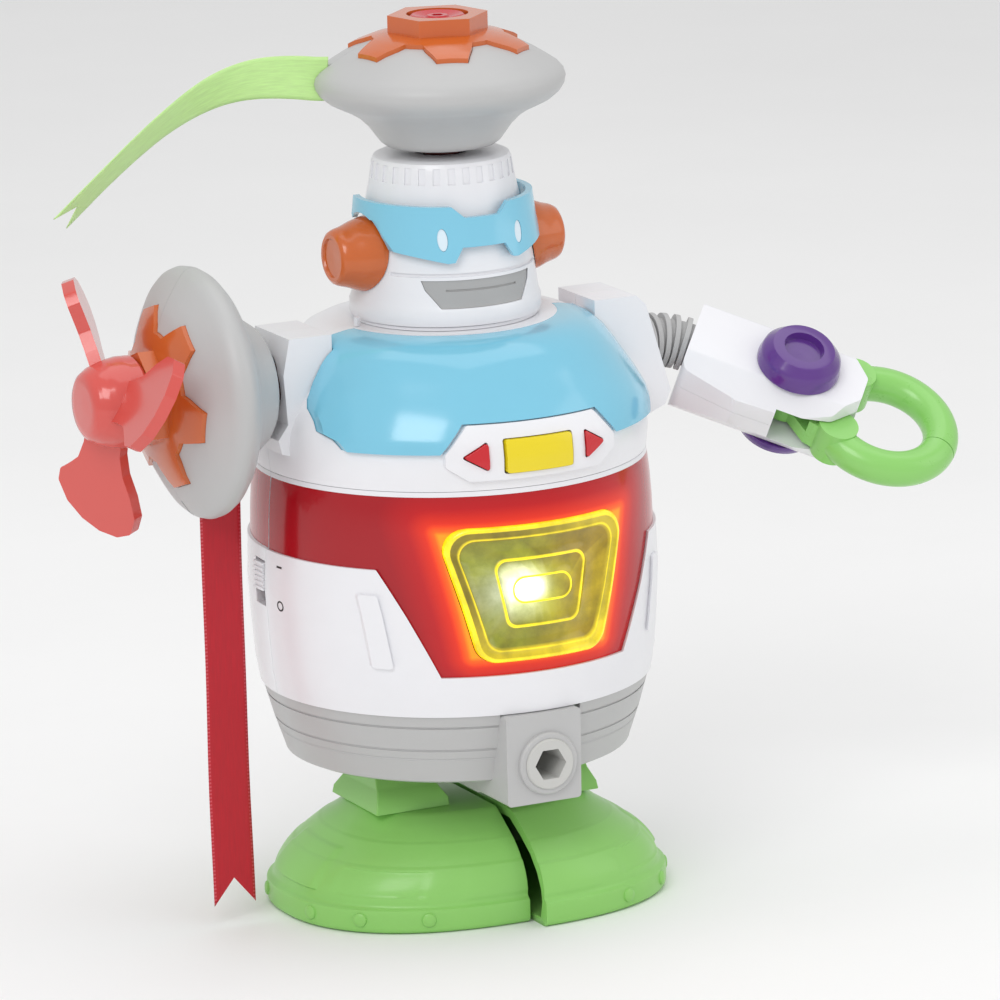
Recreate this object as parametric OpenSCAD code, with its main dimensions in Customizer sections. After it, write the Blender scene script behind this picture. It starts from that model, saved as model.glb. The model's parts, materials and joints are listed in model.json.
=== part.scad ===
// Walking toy robot with two spinning ribbon discs, a propeller,
// a claw arm, a lit chest lamp and a geared walking drive.
// Millimetres. +Z up, the robot faces -Y, its feet stand on Z = 0.
// "left" and "right" are as seen by someone facing the robot (left = -X).

/* [Body] */
// Radius of the body at the seam between chest and middle
chest_r = 58.9; // [57.5:0.1:60]
// Radius of the grey hull at its bottom edge
hull_r = 52.4; // [51:0.1:54]
// Wall thickness of the moulded shells
wall = 2.2; // [1.8:0.1:2.6]
// Height of the hull's bottom edge above the floor
hull_z = 46.5; // [45.5:0.5:48]

/* [Walking drive] */
// Throw of the two crank pins that carry the legs
crank_throw = 3.7; // [2:0.1:4]
// Width across flats of the hexagonal drive socket in front
socket_af = 8.8; // [8:0.1:10]

/* [Discs] */
// Rim radius of the ribbon discs
disc_r = 37.5; // [36:0.1:38.5]
// Width across flats of the hexagonal boss on each disc
boss_af = 26; // [24:0.5:27]
// Reach of the propeller blades from their axis
blade_r = 42; // [38:0.5:43]
// Width of the ribbons
ribbon_w = 13.2; // [10:0.1:14]

/* [Arm] */
// Swing of the forearm in its claw plane, degrees below horizontal
arm_swing = 38; // [34:1:42]
// Roll of the arm about the shoulder axis, degrees forward
arm_roll = 34.7; // [30:0.1:40]
// Radius of the claw ring at the middle of its bar
claw_r = 18; // [17:0.1:19]
// Radius of the round claw bar
claw_bar = 5.4; // [4.8:0.1:5.5]

/* [Hidden] */

$fn = 96;
gap = 0.15;          // clearance between shells that meet
seam_lo = 68.7;      // seam of hull and middle
seam_hi = 136.8;     // seam of middle and chest
step_z = 113.4;      // lower edge of the red band
deck_z = 178;        // top of the chest
axis_z = 163.5;      // height of both shoulder axes
crank_y = -3.5;
crank_z = 60;
hub_z = 53;
hub_face = -60.5;

white = [0.92, 0.92, 0.93];
grey = [0.70, 0.70, 0.69];
blue = [0.48, 0.77, 0.88];
red = [0.75, 0.12, 0.15];
coral = [0.83, 0.32, 0.29];
orange = [0.86, 0.40, 0.14];
purple = [0.36, 0.18, 0.50];
green = [0.57, 0.80, 0.44];
dark_red = [0.35, 0.08, 0.09];

// ---------- profiles, as [radius, height] ----------
hull_out = [[hull_r - 2.2, hull_z], [hull_r - 0.5, hull_z + 0.8], [hull_r, hull_z + 2.4],
  [hull_r + 2.9, 57.5], [58.4, seam_lo - gap]];
mid_out = [[59.0, seam_lo], [60.2, 76], [61.1, 88], [61.7, 100], [61.5, 108], [61.3, step_z],
  [60.5, step_z + 0.3], [60.2, 122], [59.7, 129], [chest_r, seam_hi - gap]];
band_out = [[59.2, 76], [60.2, 88], [60.9, 100], [60.7, 108], [60.5, step_z], [60.2, 122], [59.7, 129], [59.0, 135.2]];
chest_out = [[chest_r, seam_hi], [59.5, 142], [59.6, 146], [59.0, 150.5], [57.3, 155], [54.4, 159.8], [51.2, 164.4],
  [48.2, 168.9], [45.6, 172.3], [42.4, 175.1], [38.5, 177], [33.5, 177.9], [29.6, deck_z]];

function inward(p, t) = [for (q = p) [q[0] - t, q[1]]];

module spin(p, inner) { rotate_extrude($fn = 96) polygon(concat(p, [for (i = [len(inner) - 1:-1:0]) inner[i]])); }
module skin(p, t0, t1) { spin(inward(p, t0), inward(p, t1)); }
module front_half(s = 1) { translate([-100, s > 0 ? -100 : gap / 2, 0]) cube([200, 100 - (s > 0 ? gap / 2 : 0), 300]); }
// an outline in X and Z, pushed through the front of the body
module front_cut(pts, y0 = -75, y1 = -2) { translate([0, y1, 0]) rotate([90, 0, 0]) linear_extrude(y1 - y0) polygon(pts); }
module mirror_x() { children(); mirror([1, 0, 0]) children(); }
function both(p) = concat(p, [for (i = [len(p) - 1:-1:0]) [-p[i][0], p[i][1]]]);
// a polygon with rounded corners, r at every corner
function unit(v) = v / norm(v);
function rounded(p, r, n = 6) = [for (i = [0:len(p) - 1])
  let (a = p[(i + len(p) - 1) % len(p)], b = p[i], c = p[(i + 1) % len(p)],
    u = unit(a - b), w = unit(c - b), h = acos(u * w) / 2, m = unit(u + w), o = b + m * r / sin(h),
    s = u * r / tan(h) + b - o, e = w * r / tan(h) + b - o,
    a0 = atan2(s[1], s[0]), a1 = atan2(e[1], e[0]), d = (a1 - a0 + 540) % 360 - 180)
  for (k = [0:n]) o + r * [cos(a0 + d * k / n), sin(a0 + d * k / n)]];
module hex(af, h) { rotate([0, 0, 30]) cylinder(d = af / cos(30), h = h, $fn = 6); }

red_shape = both([[66, 135.2], [66, step_z], [45, step_z], [30, 81]]);
lens_shape = rounded(both([[-30.6, 125.6], [-19.6, 85.4]]), 6.5);
panel_shape = concat(both([[44, 181], [46.5, 172], [50.5, 165], [53.4, 158], [53.9, 152.4], [51.6, 150.8], [50.3, 148.2], [29, 148.2], [21.8, 156.6]]));
bezel_shape = rounded([[-20.6, 156.2], [20.6, 156.2], [27.6, 148.2], [27.6, 144.4], [21.2, 140], [-21.2, 140], [-27.6, 144.4], [-27.6, 148.2]], 1.2, 3);
middle_shape = rounded([[-10.7, 142], [10.7, 142], [10.7, 151.8], [-10.7, 151.8]], 0.8, 3);
arrow_shape = rounded([[15.9, 143.1], [22.9, 147.2], [15.9, 151.3]], 0.5, 3);

function grow(p, c, k) = [for (q = p) c + (q - c) * k];

// ---------- hull and drive socket ----------
module hull() color(grey) difference() {
  union() {
    spin(hull_out, concat([[0, hull_z], [0, hull_z + 2.6], [hull_r - 2.9, hull_z + 2.6]], [[hull_r + 2.9 - wall, 58.5], [58.4 - wall, seam_lo - gap]]));
    // posts that carry the crankshaft, outside the legs
    for (s = [-1, 1]) translate([s * 40 - 2, crank_y - 6, hull_z + 2]) cube([4, 12, 17]);
    // screw posts
    for (a = [50, 130]) translate([44 * cos(a), 44 * sin(a), hull_z + 2]) cylinder(r = 3.5, h = seam_lo - hull_z - 2.2);
  }
  // shadow grooves round the outside
  for (g = [[64.6, 0.7], [57.2, 0.7], [54.2, 0.7]]) translate([0, 0, g[0]]) rotate_extrude() translate([hull_r + (g[0] - hull_z) * 0.27 - 0.35, 0]) square([8, g[1]]);
  // openings for the legs
  for (s = [-1, 1]) translate([s * 24 - 13, crank_y - 14, hull_z - 1]) cube([26, 28, 4]);
  // seat of the front block
  translate([-13.2, -70, hull_z - 1]) cube([26.4, 30.1, 30]);
  translate([0, crank_y, crank_z]) rotate([0, 90, 0]) translate([0, 0, -45]) cylinder(r = 2.56, h = 90);
  for (a = [50, 130]) translate([44 * cos(a), 44 * sin(a), hull_z - 1]) { cylinder(r = 1.3, h = 30); cylinder(r = 2.8, h = 4); }
}
module hub_block() color(grey) difference() {
  union() {
    translate([0, hub_face, 0]) rotate([-90, 0, 0]) linear_extrude(20.4) polygon(rounded([[-13.2, -68.4], [11.4, -68.4], [11.0, -41], [-13.2, -41]], 1.2, 4));
    translate([-13, -40.2, 41]) cube([24, 20, 5.2]);
    // raised collar round the socket
    translate([0, hub_face, hub_z]) rotate([90, 0, 0]) translate([0, 0, -0.4]) rotate_extrude() polygon([[5, 0], [9.4, 0], [9.4, 1.4], [8.9, 2.0], [5, 2.0]]);
  }
  translate([0, -80, hub_z]) rotate([-90, 0, 0]) cylinder(r = 7.75, h = 46);
  translate([0, -80, hub_z]) rotate([-90, 0, 0]) cylinder(r = 4, h = 70);
}
module drive_socket() color([0.80, 0.80, 0.77]) translate([0, hub_face, hub_z]) difference() {
  union() {
    rotate([90, 0, 0]) rotate_extrude() polygon([[0, -20.2], [7.7, -20.2], [7.7, 1.8], [7.3, 2.4], [0, 2.4]]);
    rotate([-90, 0, 0]) cylinder(r = 3.3, h = 43);
    translate([0, 42.6, 0]) rotate([-90, 0, 0]) gear(8, 2.9, 3.7, 3);
  }
  translate([0, -3, 0]) rotate([-90, 0, 0]) cylinder(d = socket_af / cos(30), h = 17, $fn = 6);
}
module gear(n, r0, r1, h) { linear_extrude(h) union() { circle(r = r0); for (i = [0:n - 1]) rotate([0, 0, i * 360 / n]) polygon([[r0 - 1, -1.1], [r1, -0.6], [r1, 0.6], [r0 - 1, 1.1]]); } }

// ---------- middle ----------
module mid_full() { difference() { skin(mid_out, 0, wall + 0.8); translate([0, 0, seam_hi - 2.0]) rotate_extrude() translate([59.5, 0]) square([4, 0.5]); } }
module mid_shell_front() color(white) difference() {
  union() {
    intersection() { mid_full(); front_half(); }
    // slanted raised bars
    intersection() { skin(mid_out, -1.1, 1); for (s = [-1, 1]) front_cut(rounded([[s * 49.8, 106], [s * 45.6, 106], [s * 42.0, 83.8], [s * 46.6, 83.8]], 0.7, 2)); }
    // lamp frame
    intersection() { skin(mid_out, wall, wall + 4); front_cut(grow(lens_shape, [0, 106], 1.10)); }
  }
  intersection() { skin(band_out, -5, 1.35); front_cut(red_shape, -75, -gap); }
  front_cut(grow(lens_shape, [0, 106], 1.015));
}
module red_panel() color(red) difference() {
  intersection() { skin(band_out, 0, 1.3); front_cut(grow(red_shape, [0, 110], 0.998), -75, -0.6); }
  front_cut(grow(lens_shape, [0, 106], 1.015));
}
module lamp_lens() color([0.92, 0.82, 0.05, 0.75]) difference() {
  union() {
    intersection() { skin(mid_out, -1.4, 1.4); front_cut(lens_shape); }
    intersection() { skin(mid_out, 1, 3.2); front_cut(grow(lens_shape, [0, 106], 0.97)); }
  }
  intersection() { skin(mid_out, -3, -0.5); front_cut(grow(lens_shape, [0, 106], 0.86)); }
  intersection() { skin(mid_out, 1.3, 9); front_cut(grow(lens_shape, [0, 106], 0.90)); }
}
module lamp_reflector() color([0.85, 0.85, 0.86]) translate([0, -40, 106]) rotate([90, 0, 0]) difference() {
  rotate_extrude() polygon([[0, 0], [12, 0], [17, 9], [17, 10.5], [0, 10.5]]);
  rotate_extrude() polygon([[0, 1.5], [11, 1.5], [15.5, 9], [15.5, 12], [0, 12]]);
  translate([-5, 0, -1]) cylinder(r = 2.7, h = 5);
}
module lamp_led() color("white") translate([-5, -39.3, 106]) rotate([90, 0, 0]) { cylinder(r = 2.5, h = 5); translate([0, 0, 5]) sphere(r = 2.5); translate([-6, -9, -1.6]) cube([22, 18, 1.6]); }
module mid_shell_back() color(white) difference() {
  intersection() { mid_full(); front_half(-1); }
  translate([-24.2, 40, 76.8]) cube([48.4, 40, 52.4]);
  // slot of the slide switch
  translate([-70, 0.8, 95.6]) cube([20, 7.9, 14]);
}
module battery_door() color(white) difference() {
  union() {
    intersection() { skin(mid_out, 0, wall); translate([-24, 40, 77]) cube([48, 40, 52]); }
    translate([0, 60, 81.5]) rotate([90, 0, 0]) cylinder(r = 4, h = 6);
    // finger grip
    intersection() { skin(mid_out, -0.8, 0.5); for (i = [-2:2]) translate([-7, 40, 120 + i * 2.2]) cube([14, 40, 1]); }
  }
  translate([0, 70, 81.5]) rotate([90, 0, 0]) cylinder(r = 1.65, h = 30);
  translate([0, 70, 81.5]) rotate([90, 0, 0]) cylinder(r = 3.1, h = 10.1);
}
module door_screw() color("silver") translate([0, 61, 81.5]) rotate([90, 0, 0]) difference() { union() { cylinder(r = 2.8, h = 1); cylinder(r = 1.4, h = 8.6); } for (a = [0, 90]) rotate([0, 0, a]) translate([-1.9, -0.4, -0.5]) cube([3.8, 0.8, 1.1]); }
module battery_box() color([0.30, 0.30, 0.32]) difference() {
  translate([-24, 27, 75.9]) cube([48, 24.5, 54.4]);
  for (i = [-1, 0, 1]) translate([i * 15.2, 39.5, 77.4]) cylinder(r = 7.4, h = 51.4);
  translate([-22.8, 39.5, 77.4]) cube([45.6, 20, 51.4]);
}
module batteries() for (i = [-1, 0, 1]) translate([i * 15.2, 39.5, 77.9]) color([0.25, 0.45, 0.35]) { cylinder(r = 7.1, h = 48.9); cylinder(r = 2.6, h = 50.3); }
module power_knob() color(white) {
  difference() {
    translate([-62.1, 1.6, 100.2]) cube([8, 6.3, 8.6]);
    for (i = [0:4]) translate([-63, 1, 101.2 + i * 1.5]) cube([1.4, 8, 0.7]);
  }
  translate([-54.6, 3.4, 103]) cube([4, 2.6, 3]);
}
module power_switch() color([0.25, 0.25, 0.27]) difference() {
  translate([-53.9, -0.4, 95]) cube([6.5, 10.2, 15]);
  translate([-55, 3.1, 98.4]) cube([5, 3.2, 9]);
}
module speaker() color([0.2, 0.2, 0.2]) translate([0, 29, 150]) rotate([90, 0, 0]) { cylinder(r = 14, h = 3); translate([0, 0, 3]) cylinder(r1 = 10, r2 = 7, h = 5); }

// ---------- chest ----------
shoulder_r = [[43.5, deck_z + 0.6], [57.6, deck_z + 0.6], [60.8, 175.4], [68.6, 148.4], [66.6, 144.2], [60.6, 141.6], [50, 141], [43.5, 150]];
shoulder_l = [[-43.5, deck_z + 0.6], [-57.2, deck_z + 0.6], [-59.4, 168], [-58.4, 153], [-61.7, 148.6], [-60.6, 144.4], [-50, 141], [-43.5, 150]];
module block(pts, y0, y1) { translate([0, y1, 0]) rotate([90, 0, 0]) linear_extrude(y1 - y0) polygon(pts); }
module chest_solid() {
  rotate_extrude($fn = 96) polygon(concat([[0, seam_hi]], chest_out, [[0, deck_z]]));
  block(shoulder_r, -12.5, 11.5);
  block(shoulder_l, -12.5, 11.5);
}
module chest_room() {
  rotate_extrude($fn = 96) polygon([[0, seam_hi - 1], [chest_r - wall, seam_hi - 1], [57.2, 142], [57.3, 146], [56.7, 150], [54.8, 154.4], [52, 158.8], [48.8, 163.4],
    [45.8, 167.9], [43.2, 171.3], [40, 173.6], [36, 174.8], [0, 175]]);
}
module chest_full() difference() {
  chest_solid();
  chest_room();
  // neck bore
  translate([0, 0, 170]) cylinder(r = 24.4, h = 20);
  // left socket recess and shaft hole
  translate([-80, 0, axis_z]) rotate([0, 90, 0]) cylinder(r = 9.4, h = 80 - 52);
  translate([-80, 0, axis_z]) rotate([0, 90, 0]) cylinder(r = 5, h = 60);
  translate([63.8, 0, axis_z - 2]) rotate([0, 90, 0]) cylinder(r = 8.6, h = 20);
  // right socket bore
  translate([40, 0, axis_z - 2]) rotate([0, 90, 0]) cylinder(r = 6.06, h = 40);
  // panel seat
  intersection() { skin(chest_out, -3, 0.5); front_cut(panel_shape, -75, -5.2); difference() { translate([-80, -80, 130]) cube([160, 160, 60]); translate([0, 0, 120]) cylinder(r = 33, h = 80); mirror_x() translate([43.3, -12.7, 120]) cube([40, 40, 80]); } }
}
module chest_shell_front() color(white) difference() {
  intersection() { chest_full(); front_half(); }
  front_cut(grow(middle_shape, [0, 147], 1.06));
  for (s = [-1, 1]) front_cut(s > 0 ? grow(arrow_shape, [18, 147.2], 1.12) : [for (q = grow(arrow_shape, [18, 147.2], 1.12)) [-q[0], q[1]]]);
}
module chest_shell_back() color(white) difference() { intersection() { chest_full(); front_half(-1); } translate([0, 40, 150]) for (i = [-2:2]) translate([i * 5, 0, 0]) cube([2.2, 40, 14], center = true); }
module panel_zone() intersection() { front_cut(grow(panel_shape, [0, 160], 0.995), -75, -5.4); difference() { translate([-80, -80, 130]) cube([160, 160, 60]); translate([0, 0, 120]) cylinder(r = 33.2, h = 80); mirror_x() translate([43.1, -12.9, 120]) cube([40, 40, 80]); } }
module chest_panel() color(blue) intersection() { skin(chest_out, -1.7, 0.45); panel_zone(); }
module button_bezel() color(white) difference() {
  intersection() { skin(chest_out, -1.6, -0.02); front_cut(bezel_shape); }
  front_cut(grow(middle_shape, [0, 147], 1.06));
  for (s = [-1, 1]) front_cut(s > 0 ? grow(arrow_shape, [18, 147.2], 1.12) : [for (q = grow(arrow_shape, [18, 147.2], 1.12)) [-q[0], q[1]]]);
}
module button(pts) { intersection() { skin(chest_out, -2.5, 6); front_cut(pts); } }
module button_middle() color([0.93, 0.84, 0.08]) button(middle_shape);
module button_right() color(red) button(arrow_shape);
module button_left() color(red) button([for (q = arrow_shape) [-q[0], q[1]]]);
module button_board() color([0.20, 0.42, 0.25]) union() {
  translate([-26, -45, 139.6]) cube([52, 1.6, 15]);
  color([0.8, 0.8, 0.8]) for (x = [-18, 0, 18]) translate([x, -45, 147]) rotate([90, 0, 0]) cylinder(r = 2.4, h = 1.1);
}

// ---------- drive ----------
module drive_frame() color([0.55, 0.56, 0.58]) difference() {
  union() {
    translate([-22, -20, 75.2]) cube([44, 38, 3]);
    translate([-22, -20, 153.6]) cube([44, 38, 3]);
    translate([-22, -20, 156]) cube([3, 38, 15]);
    for (x = [-22, 19]) for (y = [-20, 14]) translate([x, y, 76]) cube([3, 4, 79]);
    translate([-22, 3.6, 96.8]) cube([44, 14.4, 3.1]);
  }
  translate([0, 0, 60]) cylinder(r = 3.06, h = 110);
  translate([-60, 0, axis_z]) rotate([0, 90, 0]) cylinder(r = 3.06, h = 60);
}
module drive_motor() color([0.65, 0.66, 0.68]) translate([0, 13.4, 100]) translate([-0, 0, 0]) difference() { union() { cylinder(r = 10, h = 25); translate([0, 0, 25]) cylinder(r = 3, h = 2); } translate([0, 0, 20]) cylinder(r = 1.03, h = 10); }
module motor_pinion() color("ivory") translate([0, 13.4, 0]) { translate([0, 0, 127.6]) gear(9, 2.9, 3.9, 5); translate([0, 0, 121]) cylinder(r = 1, h = 8); }
module crankshaft() color([0.75, 0.75, 0.76]) {
  translate([-44, crank_y, crank_z]) rotate([0, 90, 0]) cylinder(r = 2.5, h = 88);
  for (s = [-1, 1]) translate([s * 24 - 5, crank_y + s * -crank_throw, crank_z]) rotate([0, 90, 0]) cylinder(r = 6.6, h = 10);
  translate([-3, crank_y, crank_z]) rotate([0, 90, 0]) gear(16, 8.4, 9.6, 5);
}

// ---------- legs and feet, s = -1 left, 1 right ----------
function foot_y(s) = crank_y - s * crank_throw;
function foot_pt(a, k, inner) = [inner + (k[0] - inner) * pow(abs(cos(a)), 0.86), k[1] * sign(sin(a)) * pow(abs(sin(a)), 0.86)];
// stacked rings [half length in x, half length in y, height]
foot_levels = [[57.2, 44.2, 0], [59.4, 45.8, 1.2], [59.6, 46, 7.4], [58.4, 45.4, 8.4], [56.6, 44.8, 12], [52.4, 42.6, 17], [46.2, 38.4, 22], [40.4, 32.6, 26.4], [36.6, 27, 29.6], [35.6, 24.6, 31]];
foot_hollow = [[54.8, 42, 2.2], [56.6, 43.2, 7.4], [55.0, 42.6, 11], [50.4, 40.2, 15.6], [44.0, 35.8, 20.4], [37.8, 29.4, 24.6], [34.2, 24.2, 27.4], [33.6, 22.6, 28.4]];
module loft(levels, inner) {
  angles = [for (i = [0:24]) -90 + i * 7.5];
  n = len(angles);
  m = len(levels);
  pts = [for (k = levels) for (a = angles) concat(foot_pt(a, k, inner), [k[2]])];
  polyhedron(points = pts, faces = concat([[for (i = [0:n - 1]) i]], [[for (i = [n - 1:-1:0]) (m - 1) * n + i]],
    [for (j = [0:m - 2]) for (i = [0:n - 1]) let (i2 = (i + 1) % n) each [[j * n + i, (j + 1) * n + i, (j + 1) * n + i2], [j * n + i, (j + 1) * n + i2, j * n + i2]]]));
}
module foot(s) translate([0, foot_y(s), 0]) scale([1, 1, 1]) mirror([s < 0 ? 1 : 0, 0, 0]) difference() {
  union() {
    loft(foot_levels, s < 0 ? -0.4 : 2.2);
    for (a = [-62, -38, -16, 16, 38, 62]) translate([59 * pow(cos(a), 0.86), 45.6 * sign(sin(a)) * pow(abs(sin(a)), 0.86), 4.4]) rotate([0, 90, atan2(sin(a) * 59, cos(a) * 46)]) cylinder(r = 2.3, h = 1.3, $fn = 24);
  }
  loft(foot_hollow, s < 0 ? -2 : 0.6);
}
module foot_left() color(green) foot(-1);
module foot_right() color(green) foot(1);
// a leg: a shank through the hull floor with the crank bearing, and a mounting pad on the foot
module leg(s) translate([0, foot_y(s), 0]) mirror([s < 0 ? 1 : 0, 0, 0]) difference() {
  union() {
    intersection() {
      block([[11, 31.1], [35.4, 31.1], [35, 33.6], [33.4, 37.5], [32.6, 50], [15, 50], [13.6, 37.5], [11.2, 33.6]], -30, 30);
      translate([0, 0, 0]) rotate([90, 0, 90]) linear_extrude(60) polygon([[-16.6, 31.1], [15, 31.1], [14.6, 33.6], [10.4, 38.5], [8.6, 50], [-8.6, 50], [-12.6, 38.5], [-16.2, 33.6]]);
    }
    translate([16, -8.6, 48]) cube([16, 17.2, 9]);
    translate([16, 0, crank_z]) rotate([0, 90, 0]) cylinder(r = 8.6, h = 16);
  }
  translate([10, 0, crank_z]) rotate([0, 90, 0]) cylinder(r = 6.68, h = 40);
}
module leg_left() color(green) leg(-1);
module leg_right() color(green) leg(1);

// ---------- head ----------
head_out = [[28.3, 179.4], [28.6, 180], [28.6, 183.6], [28.0, 185], [25.9, 199.6], [23.6, 210.5], [21.9, 218.4], [21.3, 221.8], [20.9, 225], [20.2, 226.4], [19, 226.9], [8, 227.1]];
head_in = [[26.2, 179.4], [26.2, 184], [23.8, 199.6], [21.5, 210.5], [19.6, 218.4], [18, 223.8], [8, 224.4]];
module neck_collar() color(white) difference() {
  union() {
    rotate_extrude() polygon([[22, 174.6], [24.2, 174.6], [24.2, 178.15], [27.6, 178.15], [27.6, 179.1], [22, 179.1]]);
    for (s = [0, 180]) rotate([0, 0, s + 6]) translate([28.6, 0, 178.15]) rotate_extrude(angle = 24, $fn = 48) translate([1.8, 0]) square([1.6, 2.6]);
  }
}
module neck_bearing() color([0.8, 0.8, 0.8]) rotate_extrude() polygon([[3.06, 185.4], [19.6, 185.4], [19.6, 175.8], [21.94, 175.8], [21.94, 185.4], [25.2, 185.4], [25.2, 187.4], [3.06, 187.4]]);
module head_shell() color(white) difference() {
  spin(head_out, head_in);
  // fine ribs under the rim
  for (i = [0:29]) rotate([0, 0, i * 12]) translate([20.95, 0, 220.4]) rotate([0, -6, 0]) translate([0, -1.1, 0]) cube([3, 2.2, 4.9]);
  // mouth recess
  intersection() { skin(head_out, -2, 1.1); front_cut(mouth_shape, -40, -3); }
  intersection() { skin(head_out, -2, 0.7); front_cut([[-27, 193.9], [27, 193.9], [27, 195], [-27, 195]], -40, -12); }
  // ear seats
  for (s = [-1, 1]) translate([s * 15, 0, 198.6]) rotate([0, s * 90, 0]) cylinder(r = 5.05, h = 20);
}
mouth_shape = both([[17.6, 193.0], [16.9, 190.2], [13.2, 184.7]]);
module mouth_panel() color(grey) difference() {
  intersection() { skin(head_out, 0.35, 1.05); front_cut(grow(mouth_shape, [0, 189.5], 0.985), -40, -3); }
  intersection() { skin(head_out, -1, 0.7); front_cut([[-11.4, 189.7], [11.4, 189.7], [11.4, 190.3], [-11.4, 190.3]], -40, -12); }
}
visor_out = [[29.6, 196], [29.2, 199], [27.6, 208], [26.6, 216.5]];
visor_front = [[-9.2, 214.9], [-5.6, 211.6], [5.6, 211.6], [9.2, 214.9], [30, 215.2], [30, 209.9], [26.3, 209.9], [25.4, 205.4], [24, 201.6], [11.6, 198.5], [9.6, 198.7], [7, 203], [-7, 203], [-9.6, 198.7], [-11.6, 198.5], [-24, 201.6], [-25.4, 205.4], [-26.3, 209.9], [-30, 209.9], [-30, 215.2]];
module visor() color(blue) difference() {
  union() {
    intersection() { skin(visor_out, 0, 2); front_cut(visor_front, -40, 8); }
    // pads that hold the visor off the head
    intersection() { skin(head_out, -2.2, -0.03); for (s = [-1, 1]) rotate([0, 0, s * 50]) translate([-2.5, -40, 203]) cube([5, 25, 6]); }
  }
  for (s = [-1, 1]) translate([s * 12.4, 0, 205.4]) rotate([90, 0, 0]) pupil_plan(40, 0.1);
  // clear of the ears
  for (s = [-1, 1]) translate([s * 20, 0, 198.6]) rotate([0, s * 90, 0]) cylinder(r = 12.6, h = 20);
}
module pupil_plan(h, g = 0) { hull_free_oval(1.35 + g, 3.2 + g, h); }
module hull_free_oval(a, b, h) { linear_extrude(h) polygon([for (i = [0:23]) [a * cos(i * 15), b * sin(i * 15)]]); }
module pupils() color("white") intersection() { skin(visor_out, 0.2, 1.9); for (s = [-1, 1]) translate([s * 12.4, 0, 205.4]) rotate([90, 0, 0]) pupil_plan(40); }
module ear(s) color(orange) translate([0, 0, 198.6]) rotate([0, s * 90, 0]) difference() {
  union() {
    rotate_extrude() polygon([[0, 20.5], [11.9, 20.5], [11.7, 24], [11.2, 26.6], [10.4, 29.4], [9.2, 32.6], [8.5, 35.2], [7.9, 36.4], [7.0, 37], [5.9, 37], [5.6, 36.4], [0, 36.2]]);
    translate([0, 0, 21]) cylinder(r = 5, h = 5);
  }
  rotate([0, 0, 0]) translate([0, 0, 20]) rotate_extrude() polygon([[11.5, 0], [20, 0], [20, 5], [11.5, 5]]);
  // the flange follows the cone of the head
  rotate([0, -s * 90, 0]) translate([0, 0, -198.6]) rotate_extrude() polygon([[0, 183], [28.7, 183], [28.35, 185], [26.25, 199.6], [23.95, 210.5], [22.25, 218.4], [0, 219]]);
}
module ear_left() color(orange) { ear(-1); ear_pin(-1); }
module ear_right() color(orange) { ear(1); ear_pin(1); }
module ear_pin(s) color(orange) translate([0, 0, 198.6]) rotate([0, s * 90, 0]) translate([0, 0, 21]) cylinder(r = 5, h = 6);

// ---------- ribbon disc, axis +Z, rim at height 0 ----------
disc_out = [[7.6, 12.6], [10, 12.5], [15, 11.9], [20, 10.7], [25, 8.8], [29, 6.7], [33, 4.2], [35.6, 2.4], [37, 0.8], [disc_r, -0.9], [37.1, -2.9], [35.8, -4.9], [33.4, -6.9], [30.6, -8.3],
  [27.6, -9.7], [24.4, -11.7], [21.6, -14.4], [19.4, -17.4], [18, -19.3], [16.4, -20.5], [14.5, -20.9], [4.2, -20.9]];
disc_in = [[4.2, -18.6], [13.5, -18.6], [16, -17.4], [18, -14], [21, -10.9], [25.4, -8], [30.4, -5.4], [33.6, -3.4], [34.8, -1.2], [33.6, 0.9], [30, 3.2], [25, 6.2], [20, 8.2], [15, 9.4], [7.6, 10.1]];
module disc_shell() rotate_extrude($fn = 96) polygon(concat(disc_out, disc_in));
// s = 1 or -1 picks the half on either side of the parting plane y = 0
module disc_half(s, turn = 0) difference() {
  intersection() { disc_shell(); translate([-60, s > 0 ? 0.06 : -60.06, -40]) cube([120, 60, 80]); }
  translate([32, -0.5, ribbon_lo - 0.4]) cube([10, 1, ribbon_w + 0.8]);
  rotate([0, 0, turn]) gear_cut();
}
ribbon_lo = -6.8;
module gear_cut() { translate([0, 0, 0]) intersection() { rotate_extrude() polygon([for (p = [[6, 12.7], [10, 12.0], [15, 11.4], [20, 10.2], [25, 8.3], [29, 6.2], [29, 15], [6, 15]]) p]); linear_extrude(30) gear_plan(0.12); } }
module gear_plan(g = 0) { union() { circle(r = 19.6 + g); for (i = [0:5]) rotate([0, 0, 30 + i * 60]) polygon([[17, -7.6 - g], [20.4, -6.9 - g], [26.6 + g, -4.6 - g], [26.9 + g, 4.6 + g], [20.4, 6.9 + g], [17, 7.6 + g]]); } }
module gear_plate() difference() {
  union() {
    intersection() {
      rotate_extrude($fn = 96) polygon([[0, 12.75], [6, 12.72], [10, 12.1], [15, 11.5], [20, 10.3], [25, 8.4], [29, 6.3], [29, 8.0], [25, 10.1], [20, 12.0], [15, 13.2], [0, 13.8]]);
      linear_extrude(30) gear_plan();
    }
    translate([0, 0, 12.8]) cylinder(r = boss_af / 2 / cos(30), h = 5.5, $fn = 6);
  }
  translate([0, 0, 14.6]) cylinder(r = 9.2, h = 6);
  translate([0, 0, 5]) cylinder(r = 4.15, h = 12);
}
// the peg: flange under the disc, stem through it, head in the boss
module peg(stem, flange = 7.6) {
  rotate_extrude() polygon([[0, 17.8], [3, 17.8], [3.5, 17.0], [6.6, 17.8], [7.6, 18.1], [8.6, 17.4], [8.6, 14.7], [4.05, 14.7], [4.05, -21.0], [flange, -21.0], [flange, -22.6], [5.4, -22.6], [5.4, -stem], [0, -stem]]);
}

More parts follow.
